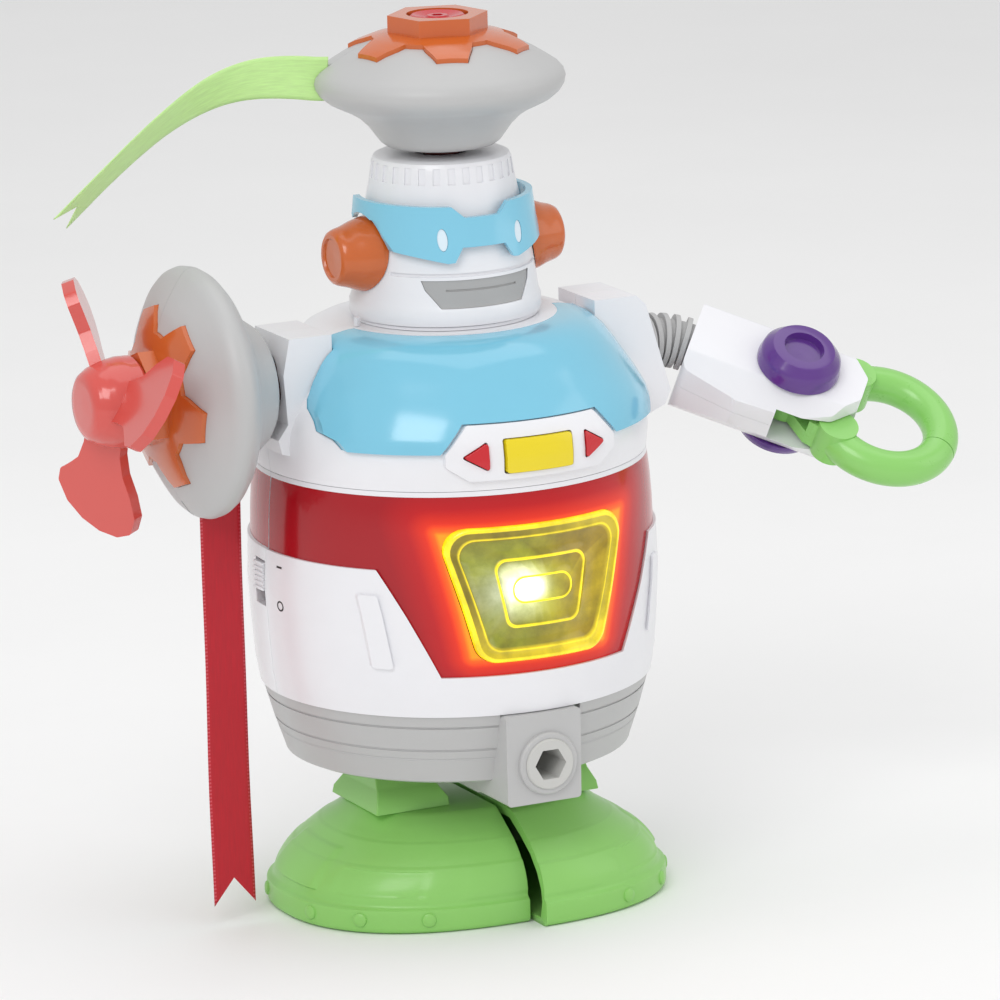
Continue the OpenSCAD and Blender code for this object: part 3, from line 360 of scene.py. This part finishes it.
# ---------------------------------------------------------------- mesh helpers
def mesh_obj(name, verts, faces, mat, body="body", smooth=True, node=None, uvs=None, glow=None, replaces=()):
    me = bpy.data.meshes.new(name)
    me.from_pydata([tuple(v) for v in verts], [], faces)
    me.update()
    bm = bmesh.new()
    bm.from_mesh(me)
    bmesh.ops.recalc_face_normals(bm, faces=bm.faces)
    bm.to_mesh(me)
    bm.free()
    if glow is not None:
        ca = me.color_attributes.new("glow", "FLOAT_COLOR", "POINT")
        for i, c in enumerate(glow):
            ca.data[i].color = (*c, 1)
    if uvs is not None:
        ul = me.uv_layers.new(name="UVMap")
        for l in me.loops:
            ul.data[l.index].uv = uvs[l.vertex_index]
    me.materials.append(mat)
    for p in me.polygons:
        p.use_smooth = smooth
    o = bpy.data.objects.new(name, me)
    bpy.context.scene.collection.objects.link(o)
    if body:
        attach(o, body)
    if replaces:
        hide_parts(*replaces)
    return o


def interp(profile, z):
    """radius at height z on a list of (radius, height)."""
    for (r0, z0), (r1, z1) in zip(profile, profile[1:]):
        if z0 <= z <= z1 and z1 > z0:
            return r0 + (r1 - r0) * (z - z0) / (z1 - z0)
    return profile[0][0] if z < profile[0][1] else profile[-1][0]


MID = [(59.0, 68.5), (60.2, 76), (61.1, 88), (61.7, 100), (61.5, 108), (61.3, 113.4), (60.5, 113.7), (60.2, 122), (59.7, 129), (58.9, 136.7)]
MIDS = [(59.0, 68.5), (60.2, 76), (61.1, 88), (61.6, 98), (61.6, 104), (61.2, 112), (60.6, 120), (59.9, 129), (58.9, 136.7)]


def on_front(x, z, out=0.0, prof=MIDS):
    r = interp(prof, z) + out
    return Vector((x, -math.sqrt(max(r * r - x * x, 1)), z)) * MM


def rounded_loop(pts, r, n=8, m=6):
    """closed outline with rounded corners, the same number of points every time."""
    out = []
    k = len(pts)
    for i in range(k):
        a, b, c = Vector(pts[i - 1]), Vector(pts[i]), Vector(pts[(i + 1) % k])
        u, w = (a - b).normalized(), (c - b).normalized()
        h = math.acos(max(-1, min(1, u.dot(w)))) / 2
        o = b + (u + w).normalized() * (r / math.sin(h))
        s, e = b + u * (r / math.tan(h)), b + w * (r / math.tan(h))
        a0, a1 = math.atan2(s.y - o.y, s.x - o.x), math.atan2(e.y - o.y, e.x - o.x)
        d = (a1 - a0 + 3 * math.pi) % (2 * math.pi) - math.pi
        for j in range(n + 1):
            t = a0 + d * j / n
            out.append((o.x + r * math.cos(t), o.y + r * math.sin(t)))
        nxt = Vector(pts[(i + 1) % k])
        # points along the straight to the next corner
        a2 = Vector(pts[i])
        b2, c2 = nxt, Vector(pts[(i + 2) % k])
        u2, w2 = (a2 - b2).normalized(), (c2 - b2).normalized()
        h2 = math.acos(max(-1, min(1, u2.dot(w2)))) / 2
        s2 = b2 + u2 * (r / math.tan(h2))
        for j in range(1, m):
            p = e.lerp(s2, j / m)
            out.append((p.x, p.y))
    return out


HOT = (-5.0, 106.9)


def lamp_glow(x, z, part):
    """the light that shows on the lamp at x, z (mm)."""
    d = math.hypot((x - HOT[0]) / 1.35, z - HOT[1])
    right = max(0.0, min(1.0, (x + 6) / 20))
    low = max(0.0, min(1.0, (101 - z) / 12))
    if part == "line":
        k = 0.85 + 0.35 * math.exp(-(d / 14) ** 2)
        return (1.0 * k, 0.78 * k, 0.01 * k)
    if part == "band":
        k = 0.22 + 0.26 * right + 0.32 * low
        return (0.95 * k, 0.72 * k, 0.008 * k)
    hot = math.exp(-(d / 2.9) ** 2) * 5
    mid = math.exp(-(d / 6.0) ** 2) * 0.8
    n = noise.noise(Vector((x * 0.16, z * 0.22, 3.1))) * 0.5 + 0.5
    olive, amber, brown = Vector((0.26, 0.28, 0.012)), Vector((0.50, 0.33, 0.004)), Vector((0.10, 0.045, 0.002))
    col = olive.lerp(amber, 0.75 * right)
    dark = max(0.0, min(1.0, 1.5 * n - 0.45)) * 0.7
    if 88 < z < 96 and -10 < x < 10:
        dark = max(dark, 0.75 * (1 - abs(z - 92) / 4) * (1 - abs(x) / 10) + 0.2)
    if z > 114 and x > 4:
        dark = max(dark, 0.55)
    col = col.lerp(brown, dark)
    silver = math.exp(-(((x + 14) / 6) ** 2 + ((z - 106) / 6) ** 2))
    col = col.lerp(Vector((0.42, 0.44, 0.36)), 0.8 * silver)
    col += Vector((0.60, 0.75, 0.12)) * mid * 0.6 + Vector((1.0, 1.0, 0.85)) * hot
    return tuple(col)


def relief(name, loops, mat, part_of, body="body", replaces=(), cap=True, rings=1, prof=MIDS, material_glow=True):
    """a stack of outlines, each at its own height above the body's surface, joined into one moulding."""
    verts, faces, glow = [], [], []
    n = len(loops[0][0])
    for li, (pts, h) in enumerate(loops):
        for (x, z) in pts:
            verts.append(on_front(x, z, h, prof))
            glow.append(lamp_glow(x, z, part_of(li)))
    for li in range(len(loops) - 1):
        for i in range(n):
            j = (i + 1) % n
            faces.append((li * n + i, li * n + j, (li + 1) * n + j, (li + 1) * n + i))
    if cap:
        # shrink to the middle in steps, so the surface stays on the curve
        pts, h = loops[-1]
        cx, cz = sum(p[0] for p in pts) / n, sum(p[1] for p in pts) / n
        base = (len(loops) - 1) * n
        steps = 14
        for s in range(1, steps):
            k = 1 - s / steps
            for (x, z) in pts:
                X, Z = cx + (x - cx) * k, cz + (z - cz) * k
                verts.append(on_front(X, Z, h, prof))
                glow.append(lamp_glow(X, Z, part_of(len(loops) - 1)))
            for i in range(n):
                j = (i + 1) % n
                faces.append((base + i, base + j, base + n + j, base + n + i))
            base += n
        verts.append(on_front(cx, cz, h, prof))
        glow.append(lamp_glow(cx, cz, part_of(len(loops) - 1)))
        for i in range(n):
            faces.append((base + i, base + (i + 1) % n, len(verts) - 1))
    return mesh_obj(name, verts, faces, mat, body, glow=glow if material_glow else None, replaces=replaces)


# ---------------------------------------------------------------- lamp
LENS = [(29.6, 125.0), (20.2, 85.8), (-20.2, 85.8), (-29.6, 125.0)]


def scaled(pts, kx, kz, cz=106):
    return [(x * kx, cz + (z - cz) * kz) for x, z in pts]


def trap(w1, z1, w0, z0):
    return [(w1, z1), (w0, z0), (-w0, z0), (-w1, z1)]


L0 = rounded_loop(trap(30.75, 125.8, 19.75, 85.2), 6.6)
L1 = rounded_loop(trap(30.3, 125.3, 19.4, 85.7), 6.3)
L2 = rounded_loop(trap(29.5, 124.7, 18.9, 86.3), 5.9)
L3 = rounded_loop(trap(29.2, 124.4, 18.7, 86.6), 5.8)
L4 = rounded_loop(trap(27.2, 122.8, 17.3, 88.2), 5.0)
L5 = rounded_loop(trap(26.6, 122.3, 16.9, 88.7), 4.8)
L6 = rounded_loop(trap(26.3, 122.0, 16.7, 89.0), 4.7)
L7 = rounded_loop(trap(25.6, 121.4, 16.3, 89.6), 4.5)
I0 = rounded_loop(trap(15.6, 116.2, 11.6, 95.0), 3.4)
I1 = rounded_loop(trap(15.3, 115.9, 11.3, 95.3), 3.3)
I2 = rounded_loop(trap(14.8, 115.4, 10.9, 95.8), 3.0)
I3 = rounded_loop(trap(14.5, 115.1, 10.6, 96.1), 2.9)
P0 = rounded_loop(trap(10.0, 110.6, 9.6, 102.2), 3.9)
P1 = rounded_loop(trap(9.8, 110.4, 9.4, 102.4), 3.8)
P2 = rounded_loop(trap(9.4, 110.0, 9.0, 102.8), 3.4)
P3 = rounded_loop(trap(9.2, 109.8, 8.8, 103.0), 3.2)
stack = [(L0, -0.8), (L0, 0.5), (L1, 1.2), (L2, 1.3), (L3, 1.1), (L4, 0.5), (L5, 0.7), (L6, 0.55), (L7, -0.5),
         (I0, -0.7), (I1, -0.25), (I2, -0.25), (I3, -0.7),
         (P0, -0.7), (P1, -0.35), (P2, -0.35), (P3, -0.7)]


def lamp_part(li):
    if li in (0, 1, 2, 3, 6, 10, 11, 14, 15):
        return "line"
    if li in (4, 5, 7):
        return "band"
    return "floor"


relief("lamp_face", stack, LAMP, lamp_part, replaces=("lamp_lens",))


# ---------------------------------------------------------------- printed marks by the switch
def patch_strip(name, x, y0, y1, z0, z1, mat, out=0.06, prof=MIDS, side=-1, nseg=4):
    """a thin printed rectangle on the left side of the middle shell."""
    verts, faces = [], []
    for h in (out, -0.3):
        for i in range(nseg + 1):
            y = y0 + (y1 - y0) * i / nseg
            for z in (z0, z1):
                r = interp(prof, z) + h
                verts.append(Vector((side * math.sqrt(r * r - y * y), y, z)) * MM)
    k = (nseg + 1) * 2
    for i in range(nseg):
        a = i * 2
        faces.append((a, a + 1, a + 3, a + 2))
        faces.append((k + a, k + a + 2, k + a + 3, k + a + 1))
        faces.append((a, a + 2, k + a + 2, k + a))
        faces.append((a + 1, k + a + 1, k + a + 3, a + 3))
    faces.append((0, k, k + 1, 1))
    faces.append((2 * nseg, 2 * nseg + 1, k + 2 * nseg + 1, k + 2 * nseg))
    return mesh_obj(name, verts, faces, mat, "body", smooth=False)


patch_strip("mark_on", 0, -9.4, -6.8, 109.1, 109.7, INK, prof=MID)


def ring_mark(name, cy, cz, ry, rz, w, mat, n=28):
    verts, faces = [], []
    for h in (0.06, -0.3):
        for k in (1.0, 0.0):
            for i in range(n):
                a = 2 * math.pi * i / n
                y, z = cy + (ry - w * (1 - k)) * math.cos(a), cz + (rz - w * (1 - k)) * math.sin(a)
                r = interp(MIDS, z) + h
                verts.append(Vector((-math.sqrt(r * r - y * y), y, z)) * MM)
    for i in range(n):
        j = (i + 1) % n
        faces.append((i, j, n + j, n + i))
        faces.append((2 * n + i, 3 * n + i, 3 * n + j, 2 * n + j))
        faces.append((i, 2 * n + i, 2 * n + j, j))
        faces.append((n + i, n + j, 3 * n + j, 3 * n + i))
    return mesh_obj(name, verts, faces, mat, "body", smooth=False)


ring_mark("mark_off", -8.3, 97.6, 1.7, 1.6, 0.5, INK)


# ---------------------------------------------------------------- ribbons
def ribbon(name, path, width, mat, body, across, thick=0.35, notch=8.0, n_across=10, fray=0.0):
    """path: list of (point, side vector) in metres; a closed thin strip with a swallow-tail end."""
    n = len(path)
    total = [0.0]
    for i in range(1, n):
        total.append(total[-1] + (path[i][0] - path[i - 1][0]).length)
    L = total[-1]
    verts, faces, uvs = [], [], []
    for side in (1, -1):
        for i, (p, s) in enumerate(path):
            t = (path[min(i + 1, n - 1)][0] - path[max(i - 1, 0)][0]).normalized()
            nrm = t.cross(s).normalized()
            for j in range(n_across + 1):
                u = j / n_across * 2 - 1
                # the tail: its middle is cut back
                cut = (1 - abs(u)) * notch * MM
                along = min(total[i], L - cut)
                # place at distance 'along' on the path
                q, sv, nn = p, s, nrm
                if along < total[i]:
                    k = max(a for a in range(n) if total[a] <= along + 1e-12)
                    k2 = min(k + 1, n - 1)
                    f = 0 if k2 == k else (along - total[k]) / (total[k2] - total[k])
                    q = path[k][0].lerp(path[k2][0], f)
                    sv = path[k][1].lerp(path[k2][1], f)
                verts.append(q + sv * (width / 2 * MM * u) + nn * (thick / 2 * MM * side))
                uvs.append(((u + 1) / 2 * 0.1, along / L))
    w = n_across + 1
    off = n * w
    for i in range(n - 1):
        for j in range(n_across):
            a = i * w + j
            faces.append((a, a + 1, a + w + 1, a + w))
            faces.append((off + a, off + a + w, off + a + w + 1, off + a + 1))
        a = i * w
        faces.append((a, a + w, off + a + w, off + a))
        a = i * w + n_across
        faces.append((a, off + a, off + a + w, a + w))
    for j in range(n_across):
        a = j
        faces.append((a, off + a, off + a + 1, a + 1))
        a = (n - 1) * w + j
        faces.append((a, a + 1, off + a + 1, off + a))
    return mesh_obj(name, verts, faces, mat, body, uvs=uvs)


# red: hangs straight down from the rim of the side disc
side_path = []
L_red = 157.2 - 33.6
nst = 70
for i in range(nst + 1):
    t = i / nst
    z = 163.5 - 33.6 - L_red * t
    y = 0.7 * math.sin(t * 4.2) * t + 0.25 * math.sin(t * 11)
    tw = 0.05 * math.sin(t * 5.0)
    side_path.append((Vector((-75.7, y, z)) * MM, Vector((math.cos(tw), math.sin(tw), 0))))
red_rib = ribbon("side_ribbon_cloth", side_path, 13.2, RIB_R, "side_spinner", None, thick=0.3, notch=8.1)
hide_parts("side_ribbon")

# green: springs out of the top disc and bends down with a twist
G = [(33.2, 0.4, 0), (37, 0.6, 2), (42, 1.2, 5), (48, 1.6, 10), (54, 1.5, 16), (60, 0.6, 24), (66, -1.2, 32), (72, -4.0, 40), (78, -7.6, 47), (84, -11.8, 52), (90, -16.6, 55), (96, -21.8, 57), (102, -27.2, 58), (108, -32.8, 58), (114.2, -38.6, 58)]
turn = math.radians(163)
ex, ey = Vector((math.cos(turn), math.sin(turn), 0)), Vector((-math.sin(turn), math.cos(turn), 0))


def spline(pts, k):
    """Catmull-Rom through the points."""
    out = []
    for i in range(len(pts) - 1):
        p0, p1, p2, p3 = pts[max(i - 1, 0)], pts[i], pts[i + 1], pts[min(i + 2, len(pts) - 1)]
        for j in range(k):
            t = j / k
            out.append(tuple(0.5 * (2 * b + (c - a) * t + (2 * a - 5 * b + 4 * c - d) * t * t + (3 * b - a - 3 * c + d) * t ** 3) for a, b, c, d in zip(p0, p1, p2, p3)))
    out.append(pts[-1])
    return out


gp = spline(G, 6)
green_path = []
for i, (r, h, tw) in enumerate(gp):
    a, b = gp[max(i - 1, 0)], gp[min(i + 1, len(gp) - 1)]
    t = Vector((b[0] - a[0], b[1] - a[1])).normalized()
    c, s = math.cos(math.radians(tw)), math.sin(math.radians(tw))
    loc = (-t.y * c, s, t.x * c)
    sv = ex * loc[0] + ey * loc[1] + Vector((0, 0, 1)) * loc[2]
    p = (ex * r + Vector((0, 0, 1)) * h) * MM + Vector((0, 0, 250 * MM))
    green_path.append((p, sv))
green_rib = ribbon("top_ribbon_cloth", green_path, 13.2, RIB_G, "drive", None, thick=0.3, notch=7.5)
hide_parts("top_ribbon")


# ---------------------------------------------------------------- smooth shading and small bevels
def soften_group():
    g = bpy.data.node_groups.new("soften", "GeometryNodeTree")
    g.interface.new_socket("Geometry", in_out="INPUT", socket_type="NodeSocketGeometry")
    g.interface.new_socket("Geometry", in_out="OUTPUT", socket_type="NodeSocketGeometry")
    i, o = g.nodes.new("NodeGroupInput"), g.nodes.new("NodeGroupOutput")
    weld = g.nodes.new("GeometryNodeMergeByDistance")
    weld.inputs["Distance"].default_value = 0.000003
    ang = g.nodes.new("GeometryNodeInputMeshEdgeAngle")
    cmp = g.nodes.new("FunctionNodeCompare")
    cmp.data_type, cmp.operation = "FLOAT", "GREATER_THAN"
    cmp.inputs[1].default_value = math.radians(30)
    nrm = g.nodes.new("GeometryNodeSetMeshNormal")
    nrm.inputs["Remove Custom"].default_value = True
    nrm.inputs["Face Sharpness"].default_value = False
    g.links.new(i.outputs[0], weld.inputs[0])
    g.links.new(ang.outputs[0], cmp.inputs[0])
    g.links.new(weld.outputs[0], nrm.inputs[0])
    g.links.new(cmp.outputs[0], nrm.inputs["Edge Sharpness"])
    g.links.new(nrm.outputs[0], o.inputs[0])
    return g


SOFT = soften_group()
BEVEL = {}
for names, wd, seg in (("hub_block drive_socket leg_left leg_right top_gear_plate side_gear_plate visor battery_door power_knob button_middle button_left button_right", 0.35, 2),
                       ("propeller claw_jaw_a claw_jaw_b", 0.9, 3), ("forearm_upper forearm_lower", 1.1, 3), ("chest_shell_front chest_shell_back arm_caps", 0.5, 2)):
    for n in names.split():
        BEVEL[n] = (wd, seg)
for n, o in cad.items():
    md = o.modifiers.new("soften", "NODES")
    md.node_group = SOFT
    if n in BEVEL:
        bv = o.modifiers.new("edge", "BEVEL")
        bv.width = BEVEL[n][0] * MM
        bv.segments = BEVEL[n][1]
        bv.limit_method = "ANGLE"
        bv.angle_limit = math.radians(34)


# ---------------------------------------------------------------- feet
def foot_mesh(side):
    """a hollow D-shaped moulding with a flared rim, contour steps and a raised rib, open on its inner side."""
    sgn = -1 if side < 0 else 1
    fy = -3.5 - side * 3.7
    inner = -0.4 if side < 0 else 2.2
    outer = [(57.4, 44.3, 0.0), (59.1, 45.6, 0.7), (59.5, 46.0, 2.2), (59.5, 46.0, 6.6), (59.0, 45.7, 7.4), (57.9, 45.0, 7.9), (57.4, 44.7, 8.5), (56.9, 44.5, 10.2), (55.5, 44.0, 13.0), (53.0, 42.7, 16.2), (49.6, 40.6, 19.4),
             (45.9, 38.0, 22.2), (42.6, 34.8, 24.8), (39.6, 31.4, 27.0), (37.5, 28.3, 29.0), (36.2, 26.0, 30.4), (35.4, 24.6, 31.0)]
    hollow = [(54.8, 42.0, 2.2), (56.6, 43.2, 7.4), (55.0, 42.6, 11.0), (50.4, 40.2, 15.6), (44.0, 35.8, 20.4), (37.8, 29.4, 24.6), (34.2, 24.2, 27.4), (33.6, 22.6, 28.4)]

    def fill(prof, k, smooth):
        pts = spline(prof, 8) if smooth else [tuple(a + (b - a) * j / 8 for a, b in zip(p, q)) for p, q in zip(prof, prof[1:]) for j in range(8)] + [prof[-1]]
        seg = [0.0]
        for a, b in zip(pts, pts[1:]):
            seg.append(seg[-1] + math.dist(a, b))
        out, j = [], 0
        for i in range(k):
            t = seg[-1] * i / (k - 1)
            while j < len(seg) - 2 and seg[j + 1] < t:
                j += 1
            f = 0 if seg[j + 1] == seg[j] else (t - seg[j]) / (seg[j + 1] - seg[j])
            out.append(tuple(a + (b - a) * min(1, f) for a, b in zip(pts[j], pts[j + 1])))
        return out

    K, NA = 96, 121
    po, ph = fill(outer, K, True), fill(hollow, K, False)
    angs = [-90 + 180 * i / (NA - 1) for i in range(NA)]

    def sstep(e0, e1, x):
        t = max(0.0, min(1.0, (x - e0) / (e1 - e0)))
        return t * t * (3 - 2 * t)

    def at(p, a, inn, d=0.0):
        c, sn = math.cos(math.radians(a)), math.sin(math.radians(a))
        x = inn + (p[0] - d - inn) * pow(abs(c), 0.86)
        y = (p[1] - d) * (1 if sn >= 0 else -1) * pow(abs(sn), 0.86)
        return Vector((sgn * x, fy + y, p[2])) * MM

    verts = []
    for j, p in enumerate(po):
        z = p[2]
        for a in angs:
            # inset of the surface: a step at two contours, and the skirt between the toe panel's edges
            d = 0.0
            front = sstep(-62, -58, a) * (1 - sstep(-26, -22, a))
            if z > 8.6:
                d += 0.45 * sstep(18.4, 18.9, z)
                d += 0.35 * sstep(24.2, 24.7, z) * (1 - sstep(50, 54, a))
                # the strip along the inner edge stands a little proud
                d -= 0.3 * (1 - sstep(-74, -73, a)) * sstep(9, 10, z)
                d -= 0.3 * sstep(73, 74, a) * sstep(9, 10, z)
                # crescent rib on the outer side
                d -= 0.9 * sstep(-16, -13, a) * (1 - sstep(16, 19, a)) * sstep(10.4, 11.2, z) * (1 - sstep(21.4, 22.0, z))
                # shallow pocket in front
                d += 0.4 * front * sstep(10.6, 11.1, z) * (1 - sstep(17.4, 17.9, z))
            verts.append(at(p, a, inner, d))
    off = len(verts)
    inh = -2.0 if side < 0 else 0.6
    for p in ph:
        for a in angs:
            v = at(p, a, inh)
            # the mouth of the hollow lies in the foot's inner plane
            if sgn * v.x < inner * MM:
                v.x = sgn * inner * MM
            verts.append(v)
    faces = []
    for base, flip in ((0, False), (off, True)):
        for j in range(K - 1):
            for i in range(NA - 1):
                q = (base + j * NA + i, base + j * NA + i + 1, base + (j + 1) * NA + i + 1, base + (j + 1) * NA + i)
                faces.append(q[::-1] if flip else q)
    # edge between outside and hollow, along both ends of the arc
    for i in (0, NA - 1):
        for j in range(K - 1):
            faces.append((j * NA + i, (j + 1) * NA + i, off + (j + 1) * NA + i, off + j * NA + i))
    # soles, tops, and the two strips between them
    for base in (0, (K - 1) * NA, off, off + (K - 1) * NA):
        half = NA // 2
        for i in range(half):
            faces.append((base + i, base + i + 1, base + NA - 2 - i, base + NA - 1 - i))
    faces.append((0, NA - 1, off + NA - 1, off))
    t = (K - 1) * NA
    faces.append((t, t + NA - 1, off + t + NA - 1, off + t))
    # round studs on the rim
    for a in (-62, -38, -16, 16, 38, 62):
        c0 = at((59.5, 46.0, 4.4), a, inner)
        c1 = at((59.5, 46.0, 4.4), a + 1.0, inner)
        tg = (c1 - c0).normalized()
        nrm = tg.cross(Vector((0, 0, 1)))
        if nrm.dot(c0 - Vector((0, fy, 4.4)) * MM) < 0:
            nrm = -nrm
        base = len(verts)
        R, n = 2.2, 20
        for (rr, h) in ((1.0, -0.6), (1.0, 0.15), (0.92, 0.55), (0.7, 0.85), (0.35, 1.0)):
            for i in range(n):
                b = 2 * math.pi * i / n
                verts.append(c0 + (tg * (R * rr * math.cos(b)) + Vector((0, 0, R * rr * math.sin(b))) + nrm * h) * MM)
        verts.append(c0 + nrm * 1.05 * MM)
        for k in range(4):
            for i in range(n):
                i2 = (i + 1) % n
                faces.append((base + k * n + i, base + k * n + i2, base + (k + 1) * n + i2, base + (k + 1) * n + i))
        for i in range(n):
            faces.append((base + 4 * n + i, base + 4 * n + (i + 1) % n, len(verts) - 1))
        faces.append(tuple(base + i for i in range(n - 1, -1, -1)))
    node = "foot_left" if side < 0 else "foot_right"
    o = mesh_obj(node + "_detail", verts, faces, GREEN, "leg_l" if side < 0 else "leg_r", replaces=(node,))
    md = o.modifiers.new("soften", "NODES")
    md.node_group = SOFT
    return o


foot_mesh(-1)
foot_mesh(1)

# ---------------------------------------------------------------- stage, light, camera
def stage_mat():
    m, nt, b = new_mat("floor_paper")
    tc = nt.nodes.new("ShaderNodeTexCoord").outputs["Object"]
    n = noise_tex(nt, 3, 5, 0.6, tc).outputs["Fac"]
    link(nt, ramp(nt, n, [(0.3, (0.90, 0.90, 0.90)), (0.7, (0.93, 0.93, 0.93))]), b.inputs["Base Color"])
    link(nt, math_node(nt, "ADD", math_node(nt, "MULTIPLY", n, 0.1), 0.75), b.inputs["Roughness"])
    return m


bpy.ops.mesh.primitive_plane_add(size=14, location=(0, 0, 0))
floor = bpy.context.object
floor.name = "floor"
floor.data.materials.append(stage_mat())

w = bpy.data.worlds.new("world")
bpy.context.scene.world = w
w.use_nodes = True
bg = w.node_tree.nodes["Background"]
bg.inputs[0].default_value = (1.0, 1.0, 1.0, 1)
bg.inputs[1].default_value = 0.70


def area(name, loc, aim, size, energy, color=(1, 1, 1)):
    l = bpy.data.lights.new(name, "AREA")
    l.shape = "RECTANGLE"
    l.size, l.size_y = size
    l.energy = energy
    l.color = color
    o = bpy.data.objects.new(name, l)
    o.location = loc
    d = Vector(aim) - Vector(loc)
    o.rotation_euler = d.to_track_quat("-Z", "Y").to_euler()
    bpy.context.scene.collection.objects.link(o)
    return o


area("key", (-1.1, -1.1, 1.35), (0, 0, 0.14), (0.9, 0.9), 11)
area("top", (0.2, 0.1, 1.5), (0, 0, 0.1), (1.3, 1.3), 5)
area("right_fill", (1.3, -0.9, 0.7), (0, 0, 0.14), (0.9, 1.1), 2.5)

cam = bpy.data.cameras.new("camera")
cam.lens = 264
cam.sensor_width = 36
cam.clip_start, cam.clip_end = 0.05, 50
co = bpy.data.objects.new("camera", cam)
bpy.context.scene.collection.objects.link(co)
A, E, R, yaw = (math.radians(v) for v in (-25.74, 13.36, 1.60, 0.3625))
right = Vector((math.cos(A), math.sin(A), 0))
back = Vector((math.sin(A) * math.cos(E), -math.cos(A) * math.cos(E), math.sin(E)))
up = back.cross(right)
R1 = right * math.cos(R) - up * math.sin(R)
U1 = right * math.sin(R) + up * math.cos(R)
F1 = -back
F2 = F1 * math.cos(yaw) + R1 * math.sin(yaw)
R2 = R1 * math.cos(yaw) - F1 * math.sin(yaw)
target = Vector((0.0009, 0, 0.1203))
loc = target + back * 2.2
co.matrix_world = Matrix(((R2.x, U1.x, -F2.x, loc.x), (R2.y, U1.y, -F2.y, loc.y), (R2.z, U1.z, -F2.z, loc.z), (0, 0, 0, 1)))
bpy.context.scene.camera = co
bpy.context.scene.view_settings.view_transform = "Standard"
